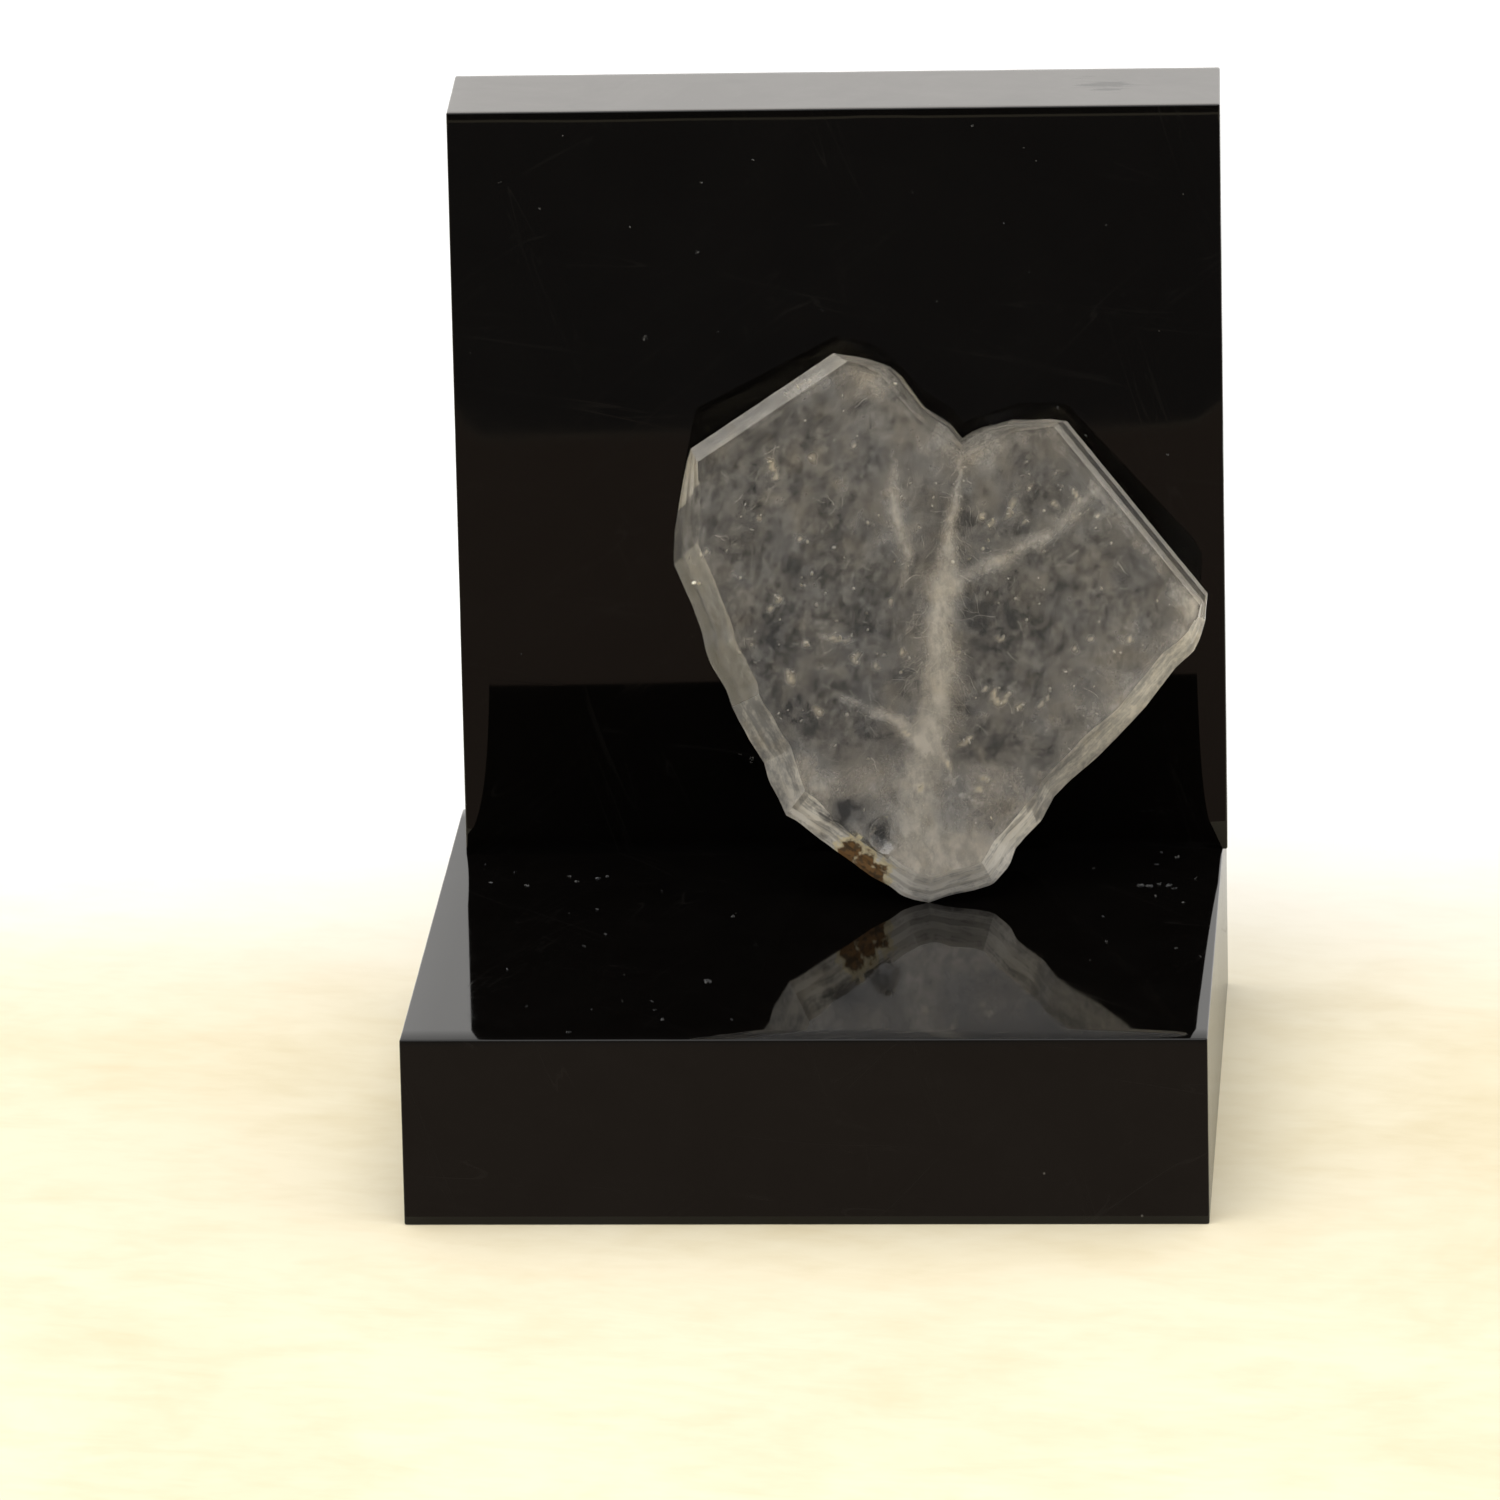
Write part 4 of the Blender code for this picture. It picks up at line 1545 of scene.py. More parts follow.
class Scatter:
    """A Geometry Nodes tree that strews small closed shapes through a sheet's thickness."""

    NUMBERS = ("Grains Per Area", "Depth", "Wander", "Length", "Slimness", "Least Size", "Disorder")

    def __init__(self, grain: Grain) -> None:
        """Builds the tree.

        Args:
            grain: what it strews.
        """
        self.tree = bpy.data.node_groups.new(f"strewn {grain.value}s", "GeometryNodeTree")
        face = self.tree.interface
        face.new_socket("Sheet", in_out="INPUT", socket_type="NodeSocketGeometry")
        kinds = {label: "NodeSocketFloat" for label in self.NUMBERS}
        kinds.update({"Seed": "NodeSocketInt", "Finish": "NodeSocketMaterial"})
        self.inputs = {
            label: face.new_socket(label, in_out="INPUT", socket_type=kind).identifier
            for label, kind in kinds.items()
        }
        face.new_socket("Grains", in_out="OUTPUT", socket_type="NodeSocketGeometry")
        self.sketch = Sketch(self.tree)
        self.given = self.sketch.add("NodeGroupInput").outputs
        self._write(grain)

    def _write(self, grain: Grain) -> None:
        """Writes the nodes that strew a grain.

        Args:
            grain: the grain's kind.
        """
        sketch, given = self.sketch, self.given
        share = sketch.add("GeometryNodeInputNamedAttribute", {"Name": "share"}, data_type="FLOAT")
        density = sketch.math("MULTIPLY", share.outputs[0], given["Grains Per Area"])
        inputs = {"Mesh": given["Sheet"], "Density": density, "Seed": given["Seed"]}
        spread = sketch.add("GeometryNodeDistributePointsOnFaces", inputs, distribute_method="RANDOM")
        size = self._random(5, given["Least Size"], 1.0)
        placed = sketch.add("GeometryNodeInstanceOnPoints", {
            "Points": self._moved(spread),
            "Instance": self._shape(grain),
            "Rotation": self._turned(),
            "Scale": sketch.math("MULTIPLY", size, given["Length"]),
        })
        real = sketch.add("GeometryNodeRealizeInstances", {"Geometry": placed.outputs[0]})
        inputs = {"Geometry": real.outputs[0], "Material": given["Finish"]}
        dressed = sketch.add("GeometryNodeSetMaterial", inputs)
        sketch.add("NodeGroupOutput", {"Grains": dressed.outputs[0]})

    def _shape(self, grain: Grain) -> NodeSocket:
        """One shape of unit length along Z, as slim as the tree's input says.

        Args:
            grain: the grain's kind.

        Returns:
            The shape's socket.
        """
        sketch, slim = self.sketch, self.given["Slimness"]
        if grain is Grain.FLAKE:
            ball = sketch.add("GeometryNodeMeshIcoSphere", {"Radius": 0.5, "Subdivisions": 1})
            slab = sketch.add("ShaderNodeCombineXYZ", {"X": 1.0, "Y": 1.0, "Z": slim})
            inputs = {"Geometry": ball.outputs[0], "Scale": slab.outputs[0]}
            return sketch.add("GeometryNodeTransform", inputs).outputs[0]
        if grain is Grain.CRUMB:
            inputs = {"Vertices": 3, "Radius Top": 0.0, "Radius Bottom": slim, "Depth": 1.0}
            return sketch.add("GeometryNodeMeshCone", inputs).outputs["Mesh"]
        bend = sketch.add("GeometryNodeCurvePrimitiveBezierSegment", {
            "Resolution": 5, "Start": (0.0, 0.0, -0.5), "Start Handle": (0.3, 0.0, -0.25),
            "End Handle": (-0.12, 0.16, 0.2), "End": (0.0, 0.0, 0.5),
        })
        ring = sketch.add("GeometryNodeCurvePrimitiveCircle", {"Resolution": 3, "Radius": slim})
        inputs = {"Curve": bend.outputs[0], "Profile Curve": ring.outputs[0], "Fill Caps": True}
        return sketch.add("GeometryNodeCurveToMesh", inputs).outputs[0]

    def _moved(self, spread: Node) -> NodeSocket:
        """Moves the points of a node off the sheet, along its normal and at random.

        Args:
            spread: the node that strews the points.

        Returns:
            The moved points' socket.
        """
        sketch, given = self.sketch, self.given
        depth = sketch.math("MULTIPLY", self._random(1, -1.0, 1.0), given["Depth"])
        off = sketch.vector("SCALE", spread.outputs["Normal"], depth)
        drift = sketch.vector("SCALE", self._random_vector(2), given["Wander"])
        inputs = {"Geometry": spread.outputs["Points"], "Offset": sketch.vector("ADD", off, drift)}
        return sketch.add("GeometryNodeSetPosition", inputs).outputs[0]

    def _turned(self) -> NodeSocket:
        """Turns each shape along the sheet's own heading, as far as the disorder leaves it.

        Returns:
            The rotations' socket.
        """
        sketch = self.sketch
        run = sketch.add("GeometryNodeInputNamedAttribute", {"Name": "run"}, data_type="FLOAT_VECTOR")
        stray = sketch.vector("SCALE", self._random_vector(3), self.given["Disorder"])
        inputs = {"Vector": sketch.vector("ADD", run.outputs[0], stray)}
        aligned = sketch.add("FunctionNodeAlignRotationToVector", inputs, axis="Z")
        roll = sketch.add("ShaderNodeCombineXYZ", {"Z": self._random(4, 0.0, math.tau)})
        inputs = {"Rotation": aligned.outputs[0], "Rotate By": roll.outputs[0]}
        return sketch.add("FunctionNodeRotateRotation", inputs, rotation_space="LOCAL").outputs[0]

    def _random(self, more: int, least: object, most: float) -> NodeSocket:
        """A random number for each point.

        Args:
            more: what sets this draw apart from the others.
            least: the lowest value.
            most: the highest value.

        Returns:
            The number's socket.
        """
        apart = self.sketch.math("ADD", self.given["Seed"], float(more))
        inputs = {2: least, 3: most, "Seed": apart}
        return self.sketch.add("FunctionNodeRandomValue", inputs, data_type="FLOAT").outputs[1]

    def _random_vector(self, more: int) -> NodeSocket:
        """A random vector for each point, from -1 to 1 on each axis.

        Args:
            more: what sets this draw apart from the others.

        Returns:
            The vector's socket.
        """
        apart = self.sketch.math("ADD", self.given["Seed"], float(more))
        inputs = {0: (-1.0,) * 3, 1: (1.0,) * 3, "Seed": apart}
        return self.sketch.add("FunctionNodeRandomValue", inputs, data_type="FLOAT_VECTOR").outputs[0]

    def run(self, name: str, sheet: Mesh, finish: Material,
            **values: float) -> Object:
        """Strews the shapes through a sheet.

        Args:
            name: the new object's name.
            sheet: the sheet, in metres, with a share from 0 to 1 and a heading at each point.
            finish: the shapes' finish.
            values: the tree's inputs, by their names in lower case with underscores.

        Returns:
            The shapes, as one object with a plain mesh.
        """
        carrier = link(f"{name} carrier", sheet)
        modifier = carrier.modifiers.new("scatter", "NODES")
        modifier.node_group = self.tree
        for label, identifier in self.inputs.items():
            if label == "Finish":
                modifier[identifier] = finish
            else:
                value = values[label.lower().replace(" ", "_")]
                modifier[identifier] = int(value) if label == "Seed" else float(value)
        graph = bpy.context.evaluated_depsgraph_get()
        mesh = bpy.data.meshes.new_from_object(carrier.evaluated_get(graph))
        mesh.name = name
        carrier.modifiers.clear()
        bpy.data.objects.remove(carrier)
        return link(name, mesh)


class Body:
    """The finished crystal, asked how deep inside it a point lies."""

    def __init__(self, piece: Object) -> None:
        """Takes the crystal's shape.

        Args:
            piece: the finished crystal.
        """
        back = SPECIMEN.matrix.inverted()
        points = [back @ vertex.co for vertex in piece.data.vertices]
        self.tree = BVHTree.FromPolygons(points, [tuple(face.vertices) for face in piece.data.polygons])

    def depth(self, x: float, y: float, z: float, half: float = 0.0) -> float:
        """How far the nearest surface is, below 0 outside the crystal.

        Args:
            x: the point's place across the specimen.
            y: its place up the specimen.
            z: its height in the specimen.
            half: how far over and under the point is asked about too; the least counts.

        Returns:
            The depth in millimetres.
        """
        least = math.inf
        for height in {z - half, z, z + half}:
            place = Vector((x, y, height))
            away = self.tree.find_nearest(place)[3]
            above, normal, _, _ = self.tree.ray_cast(place, Vector((0.0, 0.0, 1.0)))
            least = min(least, away if above is not None and normal.z > 0 else -away)
        return least


GRID_WIDTH = 28
GRID_HEIGHT = 29
GRID_LEFT = -12.6


def grid_over_crystal(cell: float) -> Iterator[tuple[tuple[int, int], float, float]]:
    """The keys, as (column, row), and the places of a grid over the whole crystal.

    Args:
        cell: the grid's pitch.

    Yields:
        A key and its place across and upwards.
    """
    for row in range(round(GRID_HEIGHT / cell)):
        for column in range(round(GRID_WIDTH / cell)):
            yield (column, row), GRID_LEFT + column * cell, row * cell


def join_grid(bm: BMesh, points: Points) -> None:
    """Joins the points of a grid by square faces.

    Args:
        bm: the mesh.
        points: its points by (column, row).
    """
    for (column, row), vertex in points.items():
        keys = (column + 1, row), (column + 1, row + 1), (column, row + 1)
        others = [points.get(key) for key in keys]
        if all(others):
            bm.faces.new((vertex, *others))


@dataclass(frozen=True)
class Sheet:
    """The flat sheet that shapes are strewn through, with a share and a heading at each point."""

    z: float
    body: Body | None = None
    place: Matrix = SPECIMEN.matrix
    cell: float = 0.25
    # How far over and under it the shapes reach, and how deep they stay inside the crystal.
    reach: float = 0.45
    under: float = 0.1
    # A spot sinks by these steps until it is this deep.
    sink: float = 0.1
    sinks: int = 16
    spot_depth: float = 0.2

    def grid(self, name: str, look: Callable[[float, float], Look], rim: float) -> Mesh:
        """A grid over the whole crystal.

        Args:
            name: the mesh's name.
            look: gives the share and the heading, as a flat vector, at (x, y).
            rim: how far inside the outline it ends.

        Returns:
            The mesh, in the stand's metres.
        """
        bm = bmesh.new()
        points: Points = {}
        looks: list[Look] = []
        for key, x, y in grid_over_crystal(self.cell):
            away, inside, _ = rim_distance(x, y)
            if inside and away > rim and self.body.depth(x, y, self.z, self.reach) > self.under:
                points[key] = bm.verts.new((x, y, self.z))
                looks.append(look(x, y))
        join_grid(bm, points)
        return self._finished(name, bm, looks)

    def spots(self, name: str, spots: tuple) -> Mesh:
        """A small rectangle at each spot.

        Args:
            name: the mesh's name.
            spots: the spots as (x, y, length, width, heading in degrees).

        Returns:
            The mesh, in the stand's metres.
        """
        bm = bmesh.new()
        looks: list[Look] = []
        for x, y, length, width, heading in spots:
            way = along(math.radians(heading))
            across = Vector((way.y, -way.x))
            z = self.z
            if self.body is not None:
                lower = [self.z - self.sink * step for step in range(self.sinks)]
                deep = (place for place in lower if self.body.depth(x, y, place) > self.spot_depth)
                z = next(deep, None)
            if z is None:
                continue
            corners = []
            for end, side in ((-0.5, -0.5), (0.5, -0.5), (0.5, 0.5), (-0.5, 0.5)):
                place = Vector((x, y)) + way * (end * length) + across * (side * width)
                corners.append(bm.verts.new((*place, z)))
                looks.append((1.0, way))
            bm.faces.new(corners[::-1])
        return self._finished(name, bm, looks)

    def _finished(self, name: str, bm: BMesh,
                  looks: list[Look]) -> Mesh:
        """Stores the shares and the headings, and places the sheet.

        Args:
            name: the mesh's name.
            bm: the sheet in its own millimetres.
            looks: the share and the heading of each point.

        Returns:
            The mesh, in the stand's metres.
        """
        share = bm.verts.layers.float.new("share")
        run = bm.verts.layers.float_vector.new("run")
        for vertex, (value, way) in zip(bm.verts, looks):
            vertex[share] = value
            vertex[run] = (self.place.to_3x3() @ Vector((*way, 0.0))).normalized()
        bm.transform(self.place)
        return mesh_from(name, bm)


@dataclass(frozen=True)
class Mist:
    """A thin, gently waved layer of mist that follows the crystal's outline."""

    name: str
    z: float
    body: Body
    wave: float = 0.22
    thickness: float = 0.04
    least_depth: float = 0.14
    fade: float = 0.35
    cell: float = 0.25
    flecked: bool = False

    def build(self, finish: Material) -> Object:
        """Builds the layer.

        Args:
            finish: its finish.

        Returns:
            The finished piece.
        """
        bm = bmesh.new()
        milk, fade, fleck = (bm.verts.layers.float.new(name) for name in ("milk", "fade", "fleck"))
        points: Points = {}
        for key, x, y in grid_over_crystal(self.cell):
            z = self.z + self.wave * ripple(x, y, 0.25, 7 * self.z)
            depth = self.body.depth(x, y, z)
            if depth > self.least_depth:
                vertex = points[key] = bm.verts.new((x, y, z))
                vertex[milk] = milk_at(x, y)
                vertex[fade] = min(1.0, (depth - self.least_depth) / self.fade)
                vertex[fleck] = fleck_at(x, y) if self.flecked else 0.0
        join_grid(bm, points)
        bmesh.ops.delete(bm, geom=[v for v in bm.verts if not v.link_faces], context="VERTS")
        whole = [*bm.verts, *bm.edges, *bm.faces]
        bmesh.ops.solidify(bm, geom=whole, thickness=self.thickness)
        bmesh.ops.recalc_face_normals(bm, faces=bm.faces)
        for face in bm.faces:
            face.smooth = True
        bm.transform(SPECIMEN.matrix)
        piece = link(self.name, mesh_from(self.name, bm))
        piece.data.materials.append(finish)
        finish_piece(piece, Slot.QUARTZ)
        return piece


NO_HEADING = Vector((0, 0))


@dataclass(frozen=True)
class Inclusions:
    """What clouds the crystal: fog, the feathery seam, wisps, loose threads and pale flecks."""

    body: Body
    middle: float = 0.5

    def build(self, milk: Material, fleck: Material) -> list[Object]:
        """Builds the inclusions.

        Args:
            milk: the finish of what is milky.
            fleck: the finish of the flecks.

        Returns:
            The finished pieces.
        """
        crumbs, threads, flakes = Scatter(Grain.CRUMB), Scatter(Grain.THREAD), Scatter(Grain.FLAKE)
        sheet, near = Sheet(self.middle, self.body), Sheet(FRONT_Z - 0.45, self.body)
        pieces = [
            crumbs.run("milky_fog", sheet.grid("fog", self._fog, 0.8), milk,
                       grains_per_area=5.0e8, depth=0.9 * MM, wander=0.12 * MM, length=0.04 * MM,
                       slimness=0.4, least_size=0.35, disorder=1.0, seed=11),
            crumbs.run("milky_seam", sheet.grid("seam", self._seam, 0.35), milk,
                       grains_per_area=2.2e9, depth=0.8 * MM, wander=0.15 * MM, length=0.042 * MM,
                       slimness=0.4, least_size=0.3, disorder=1.0, seed=23),
            threads.run("seam_feathers", sheet.grid("feathers", self._feathers, 0.6), milk,
                        grains_per_area=5.0e7, depth=0.8 * MM, wander=0.25 * MM, length=1.3 * MM,
                        slimness=0.0055, least_size=0.15, disorder=0.8, seed=31),
            threads.run("wisps", sheet.grid("wisps", self._wisps, 0.9), milk,
                        grains_per_area=4.0e7, depth=0.5 * MM, wander=0.35 * MM, length=0.7 * MM,
                        slimness=0.007, least_size=0.2, disorder=0.8, seed=41),
            threads.run("loose_threads", sheet.grid("loose", self._loose, 1.1), milk,
                        grains_per_area=1.6e6, depth=0.8 * MM, wander=0.2 * MM, length=0.9 * MM,
                        slimness=0.006, least_size=0.2, disorder=1.0, seed=53),
            flakes.run("scattered_flecks", sheet.grid("scattered", self._scattered, 1.0), fleck,
                       grains_per_area=0.9e6, depth=0.8 * MM, wander=0.1 * MM, length=0.24 * MM,
                       slimness=0.35, least_size=0.25, disorder=1.0, seed=61),
            flakes.run("pale_flecks", near.spots("flecks", FLECKS), fleck,
                       grains_per_area=1.2e7, depth=0.08 * MM, wander=0.04 * MM, length=0.36 * MM,
                       slimness=0.35, least_size=0.35, disorder=0.7, seed=71),
        ]
        for piece in pieces:
            finish_piece(piece, Slot.QUARTZ)
        return pieces

    @staticmethod
    def _fog(x: float, y: float) -> Look:
        """The share of fog at a point: patches where the specimen is milky."""
        mottle = noise.fractal(Vector((x * 0.9, y * 0.9, 1.0)), 1.0, 2.0, 4)
        return unit((clouds_at(x, y) - 0.12) * (1.4 + 1.6 * mottle)), NO_HEADING

    @staticmethod
    def _seam(x: float, y: float) -> Look:
        """The share of the seam's grains at a point, broken up into feathers.

        Args:
            x: the point's place across.
            y: its place upwards.

        Returns:
            The share and no heading.
        """
        feather = noise.fractal(Vector((x * 2.4, y * 1.1, 5.0)), 1.0, 2.0, 3)
        milky = SEAM.at(x, y)[0] + 0.35 * sum(wisp.at(x, y)[0] for wisp in WISPS)
        return unit(milky**1.4 * (1.0 + 1.3 * feather)), NO_HEADING

    @staticmethod
    def _feathers(x: float, y: float) -> Look:
        """The threads that leave the seam on both sides, like a feather's barbs.

        Args:
            x: a place on the specimen, across.
            y: the same, upwards.

        Returns:
            The share of threads there and their heading.
        """
        _, way, side = SEAM.at(x, y)
        wide = Veil(tuple((a, b, 0.35 + 1.3 * w, s) for a, b, w, s in SEAM.line)).at(x, y)[0]
        lean = math.radians(50) * (1 if side > 0 else -1)
        out = Vector((
            way.x * math.cos(lean) - way.y * math.sin(lean),
            way.x * math.sin(lean) + way.y * math.cos(lean),
        ))
        patch = (0.35 + 1.5 * ripple(x, y, 0.8, 2.0)) * min(1.0, max(0.2, (y - 5.0) / 5.0))
        return unit(wide * patch), out

    @staticmethod
    def _wisps(x: float, y: float) -> Look:
        """The threads that run along the wisps."""
        share, way, _ = max((wisp.at(x, y) for wisp in WISPS), key=lambda found: found[0])
        return share if share > 0.05 else 0.0, way

    @staticmethod
    def _loose(x: float, y: float) -> Look:
        """Loose threads anywhere, in groups."""
        return max(0.0, 0.45 + 1.1 * ripple(x, y, 0.45, 9.0)), NO_HEADING

    @staticmethod
    def _scattered(x: float, y: float) -> Look:
        """Small flecks anywhere, in groups."""
        return max(0.0, 0.35 + ripple(x, y, 0.5, 4.0)), NO_HEADING


# Crumbs of dust as (x, y, size): on the base plate from its front left corner, and on the
# upright's face from its left end and the floor.
BASE_DUST = (
    (1.97, 29.9, 0.1), (2.53, 26.71, 0.12), (3.64, 28.46, 0.12), (4.43, 26.16, 0.2), (6.48, 27.73, 0.12),
    (6.9, 26.85, 0.2), (8.0, 27.36, 0.2), (8.39, 27.71, 0.14), (8.32, 21.93, 0.12), (6.89, 21.25, 0.1),
    (9.03, 17.61, 0.12), (8.05, 15.57, 0.1), (11.45, 25.05, 0.1), (15.35, 20.66, 0.14),
    (14.75, 9.6, 0.34), (12.8, 3.3, 0.2), (12.16, 6.28, 0.12), (12.34, 4.95, 0.1), (10.65, 6.29, 0.1),
    (10.4, 10.8, 0.1), (9.19, 4.97, 0.12), (5.91, 5.49, 0.1), (4.49, 11.69, 0.1), (16.28, 3.28, 0.12),
    (8.31, 1.19, 0.14), (35.97, 25.9, 0.26), (36.4, 25.8, 0.3), (36.9, 26.1, 0.2), (37.36, 25.88, 0.24),
    (37.68, 25.36, 0.14), (36.69, 29.59, 0.16), (36.84, 31.72, 0.14), (37.69, 30.83, 0.2),
    (38.71, 27.1, 0.12), (33.42, 28.91, 0.12), (38.21, 22.91, 0.12), (36.8, 23.97, 0.12),
    (34.2, 20.52, 0.1), (38.01, 15.01, 0.12), (39.31, 13.64, 0.1), (34.49, 16.22, 0.12),
)
UPRIGHT_DUST = (
    (9.89, 37.17, 0.2), (12.65, 41.68, 0.12), (12.93, 45.35, 0.1), (15.61, 46.48, 0.1),
    (13.64, 37.45, 0.08), (18.98, 38.55, 0.08), (30.92, 33.24, 0.12), (28.35, 43.03, 0.08),
    (26.8, 48.13, 0.1), (29.38, 46.95, 0.08), (30.03, 46.26, 0.08), (23.63, 44.71, 0.08),
    (24.87, 38.91, 0.08), (32.38, 31.74, 0.1), (4.63, 44.03, 0.08), (2.67, 45.47, 0.08),
    (5.95, 47.85, 0.08), (9.31, 43.08, 0.08), (0.9, 36.48, 0.08), (37.49, 44.44, 0.08),
    (33.55, 42.86, 0.08), (29.59, 40.43, 0.06), (36.52, 30.69, 0.1), (14.9, 14.6, 0.22),
    (14.3, 14.9, 0.1), (13.0, 28.2, 0.06), (3.1, 20.4, 0.06), (7.7, 33.1, 0.06),
)


@dataclass(frozen=True)
class Dust:
    """The crumbs of dust that lie on the stand."""

    lift: float = 0.02

    def build(self, finish: Material) -> None:
        """Builds the dust.

        Args:
            finish: its finish.
        """
        crumbs = Scatter(Grain.CRUMB)
        half = SQUARE / 2
        base = Matrix.Scale(MM, 4) @ Matrix.Translation((-half, -half, BASE_TOP))
        upright = (Matrix.Scale(MM, 4) @ Matrix.Translation((*BACK_FRONT_LEFT, 0.0))
                   @ Matrix.Rotation(BACK_YAW, 4, "Z") @ Matrix.Rotation(math.radians(90), 4, "X"))
        for name, place, spots in (("dust_on_base", base, BASE_DUST),
                                   ("dust_on_upright", upright, UPRIGHT_DUST)):
            around = tuple((x, y, 1.4 * size, size, 97 * x) for x, y, size in spots)
            sheet = Sheet(self.lift, place=place).spots(name, around)
            piece = crumbs.run(name, sheet, finish,
                               grains_per_area=2.6e8, depth=0.02 * MM, wander=0.03 * MM,
                               length=0.09 * MM, slimness=0.3, least_size=0.4, disorder=1.0, seed=83)
            finish_piece(piece, Slot.ACRYLIC)


# ---- The studio ----


def hide_from(hidden: Object, *rays: str) -> None:
    """Lets these kinds of rays pass an object by."""
    for ray in rays:
        setattr(hidden, f"visible_{ray}", False)


@dataclass(frozen=True)
class Studio:
    """A pale paper floor, a white surround with a dark side towards the camera, and a camera."""

    floor_half: float = 1.5
    # Where the floor behind the stand is painted white, as painted light for the brighter light behind the
    # stand, in millimetres.
    whitens: tuple = (5.0, 65.0)
    paper: tuple = (0.88, 0.80, 0.60)
    paper_spots: tuple = (0.74, 0.63, 0.40)
    # Painted light: the paper's colour behind the stand, white where the light falls brighter.
    paper_painted_lit_behind: tuple = (0.97, 0.97, 0.97)
    surround: float = 1.1
    overhead: float = 1.0
    camera_side: float = 0.07
    seen: float = 1.05
    # Where the surround turns dark towards the camera, where that ends at the top, and where
    # the overhead light starts, all as parts of the view's direction.
    dark_towards: tuple = (-0.25, -0.7)
    dark_below: tuple = (0.62, 0.42)
    overhead_above: tuple = (0.25, 0.8)
    # The flags, which only mirrors see, as (name, nearest y, farthest y, z, brightness).
    flags: tuple = (
        ("studio_flag_near", 0.0201, 0.106, 0.0004, (0.43, 0.32, 0.25)),
        ("studio_flag_far", 0.106, 0.9, 0.0005, (0.17, 0.16, 0.155)),
    )
    flag_half: float = 0.3
    lamp_power: float = 2.4
    lamp_size: float = 0.6
    lamp_at: tuple = (-0.05, -0.22, 0.62)
    fill_power: float = 0.22
    fill_size: float = 0.12
    fill_at: tuple = (0.02, -0.36, 0.015)
    lens: float = 316.7
    camera_at: tuple = (0.03728, -0.64036, 0.20692)
    camera_pitch: float = math.radians(16.35)
    camera_yaw: float = math.radians(-3.65)
    camera_roll: float = math.radians(1.21)

    def build(self, effects: Effects, specimen: list[Object]) -> None:
        """Builds the floor, the surround, the lamps, the flags and the camera.

        Args:
            effects: the shared effects.
            specimen: the pieces that the low fill lights, as a masked lamp does.
        """
        self._floor(effects)
        half = self.flag_half
        for name, near, far, z, color in self.flags:
            corners = ((-half, -far, z), (half, -far, z), (half, -near, z), (-half, -near, z))
            self._flag(name, corners, color)
        self._world()
        self._lamp("overhead", self.lamp_at, self.lamp_power, self.lamp_size)
        kicker = self._lamp("low_fill", self.fill_at, self.fill_power, self.fill_size)
        hide_from(kicker, "camera", "glossy", "transmission")
        lit = bpy.data.collections.new("lit by the low fill")
        for piece in specimen:
            lit.objects.link(piece)
        kicker.light_linking.receiver_collection = lit
        self._camera()

    @staticmethod
    def _sheet(name: str, corners: tuple) -> Object:
        """A flat sheet that isn't part of the object.

        Args:
            name: its name.
            corners: its corners.

        Returns:
            The sheet.
        """
        bm = bmesh.new()
        bm.faces.new([bm.verts.new(corner) for corner in corners])
        sheet = link(name, mesh_from(name, bm))
        return sheet

    def _floor(self, effects: Effects) -> None:
        """The floor of mottled cream paper, painted white behind the stand as painted light.

        Args:
            effects: the shared effects.
        """
        half = self.floor_half
        corners = ((-half, -half, 0), (half, -half, 0), (half, half, 0), (-half, half, 0))
        floor = self._sheet("floor", corners)
        material, sketch, shader = new_material("cream_paper")
        where = in_millimetres(sketch)
        spots = sketch.mask(effects.clouds, where, scale=0.045, low=0.45, high=0.8)
        drawn = sketch.stretch(where, (0.45, 1.0, 1.0), (0, 0, math.radians(12)))
        fibres = sketch.mask(effects.clouds, drawn, scale=0.28, low=0.44, high=0.72)
        spots = sketch.math("MULTIPLY_ADD", fibres, 0.35, sketch.math("MULTIPLY", spots, 0.75))
        color = sketch.tint(spots, self.paper, self.paper_spots)
        back = sketch.add("ShaderNodeSeparateXYZ", {0: where}).outputs[1]
        # Painted light: the paper turns white behind the stand, where the light falls brighter.
        color = sketch.tint(sketch.step(back, *self.whitens), color, self.paper_painted_lit_behind)
        sketch.feed(shader, {"Base Color": color, "Roughness": 0.9, "Specular IOR Level": 0.1})
        floor.data.materials.append(material)

    def _flag(self, name: str, corners: tuple, color: tuple) -> None:
        """A glowing card that only mirrors see.

        Args:
            name: its name.
            corners: its corners.
            color: how bright it is.
        """
        card = self._sheet(name, corners)
        material = bpy.data.materials.new(name)
        material.use_nodes = True
        material.node_tree.nodes.clear()
        sketch = Sketch(material.node_tree)
        glow = sketch.add("ShaderNodeEmission", {"Color": (*color, 1.0), "Strength": 1.0})
        sketch.add("ShaderNodeOutputMaterial", {"Surface": glow.outputs[0]})
        card.data.materials.append(material)
        hide_from(card, "camera", "diffuse", "transmission", "volume_scatter", "shadow")

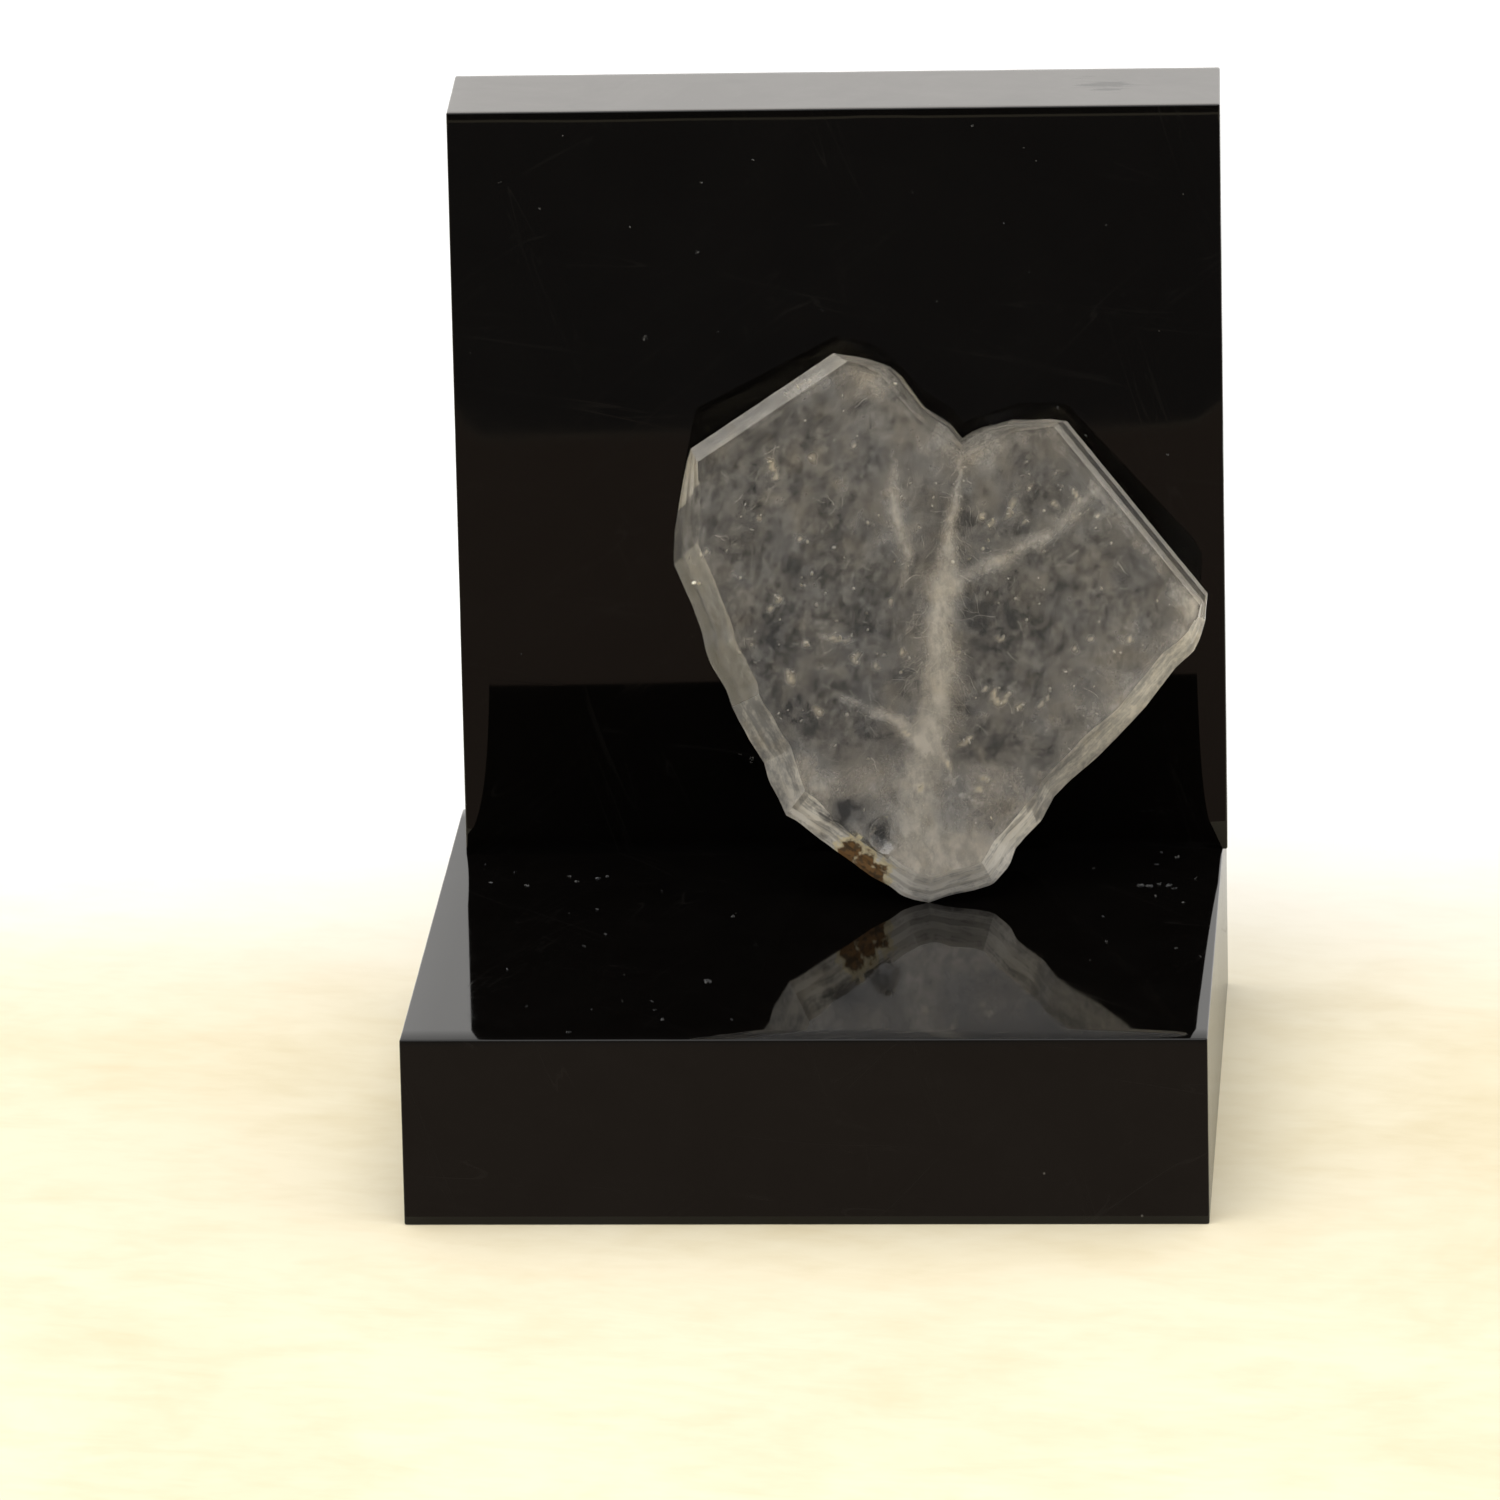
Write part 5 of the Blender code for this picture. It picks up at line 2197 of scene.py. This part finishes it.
    def _world(self) -> None:
        """White all round and above, and dark on the camera's side, as a studio is."""
        world = bpy.data.worlds.new("studio")
        bpy.context.scene.world = world
        world.use_nodes = True
        world.node_tree.nodes.clear()
        sketch = Sketch(world.node_tree)
        way = sketch.add("ShaderNodeTexCoord").outputs["Generated"]
        _, back, up = sketch.add("ShaderNodeSeparateXYZ", {0: way}).outputs
        low = sketch.step(up, *self.dark_below)
        front = sketch.math("MULTIPLY", sketch.step(back, *self.dark_towards), low)
        top = sketch.step(up, *self.overhead_above)
        bright = sketch.blend(top, self.surround, self.overhead)
        bright = sketch.blend(front, bright, self.camera_side)
        to_camera = sketch.add("ShaderNodeLightPath").outputs["Is Camera Ray"]
        strength = sketch.blend(to_camera, bright, self.seen)
        inputs = {"Color": (1.0, 0.985, 0.96, 1.0), "Strength": strength}
        background = sketch.add("ShaderNodeBackground", inputs)
        sketch.add("ShaderNodeOutputWorld", {"Surface": background.outputs[0]})

    @staticmethod
    def _lamp(name: str, at: tuple, power: float, size: float) -> Object:
        """A soft square lamp that points at the stand.

        Args:
            name: its name.
            at: its place.
            power: its power in watts.
            size: its side.

        Returns:
            The lamp.
        """
        light = bpy.data.lights.new(name, "AREA")
        light.energy = power
        light.size = size
        lamp = bpy.data.objects.new(name, light)
        lamp.location = at
        lamp.rotation_euler = Vector(at).to_track_quat("Z", "Y").to_euler()
        bpy.context.scene.collection.objects.link(lamp)
        return lamp

    def _camera(self) -> None:
        """The camera, at a long lens' distance."""
        yaw, pitch, roll = self.camera_yaw, self.camera_pitch, self.camera_roll
        ahead = Vector((
            math.sin(yaw) * math.cos(pitch), math.cos(yaw) * math.cos(pitch), -math.sin(pitch)
        ))
        right = Vector((math.cos(yaw), -math.sin(yaw), 0.0))
        down = ahead.cross(right)
        rolled_right = right * math.cos(roll) + down * math.sin(roll)
        rolled_down = down * math.cos(roll) - right * math.sin(roll)
        data = bpy.data.cameras.new("camera")
        data.lens, data.sensor_width = self.lens, 36.0
        data.clip_start, data.clip_end = 0.01, 20.0
        camera = bpy.data.objects.new("camera", data)
        turn = Matrix((rolled_right, -rolled_down, -ahead)).transposed()
        camera.matrix_world = Matrix.Translation(self.camera_at) @ turn.to_4x4()
        bpy.context.scene.collection.objects.link(camera)
        bpy.context.scene.camera = camera


def main() -> None:
    """Builds the stand, the specimen and the studio."""
    logging.basicConfig(level=logging.INFO, format="%(name)s %(message)s")
    bpy.context.scene.view_settings.view_transform = "Standard"
    noise.seed_set(SEED)
    effects = Effects()
    face = AcrylicFinish("acrylic_face").make(effects)
    edge = AcrylicFinish("acrylic_edge", roughness=0.2, haze=0.012, grain=0.5).make(effects)
    top = AcrylicFinish("acrylic_dusty_edge", roughness=0.12, haze=0.42, grain=0.3).make(effects)
    half = SQUARE / 2
    Plate("base_plate_acrylic", "base_plate", (-half, -half, 0.0), (SQUARE, SQUARE, BASE_TOP)).build(
        face, edge, top, across=2
    )
    foot = BASE_TOP - CEMENTED
    upright_size = (BACK_WIDTH, BACK_THICKNESS, STAND_TOP - foot)
    Plate("back_plate_acrylic", "back_plate", (*BACK_FRONT_LEFT, foot), upright_size, BACK_YAW).build(
        face, edge, top, across=1
    )
    clear = QuartzFinish("quartz_clear", transmission=0.93, roughness=0.07, haze=0.0).make(effects)
    # The worn and the chalky finishes are frosted and also painted brighter, as painted light on the low
    # faces and the foot.
    worn_and_painted_light = QuartzFinish(
        "quartz_worn_and_painted_light", transmission=0.6, roughness=0.3, haze=-0.85, lines=0.2, mottle=0.8,
        clear=(0.34, 0.335, 0.33),
    ).make(effects)
    chalky_and_painted_light = QuartzFinish(
        "quartz_chalky_and_painted_light", transmission=0.1, roughness=0.5, haze=-1.0, lines=0.12, mottle=0.7,
        clear=(0.22, 0.215, 0.21),
    ).make(effects)
    crystal = TwinCrystal().build(clear, worn_and_painted_light, chalky_and_painted_light)
    body = Body(crystal)
    milk = GrainFinish("milky_inclusion", warm_share=0.15).make(effects)
    fleck = GrainFinish("pale_fleck", warm_share=0.8).make(effects)
    Mist("deep_mist", -0.1, body).build(MistFinish("deep_mist", shift=0.0).make(effects))
    near = Mist("near_mist", 1.05, body, cell=0.15, flecked=True)
    near.build(MistFinish("near_mist", shift=11.0).make(effects))
    Inclusions(body).build(milk, fleck)
    Dust().build(GrainFinish("dust_crumb", color=(0.16, 0.165, 0.175), warm_share=0.1).make(effects))
    Studio().build(effects, [crystal])


if __name__ == "__main__":
    main()
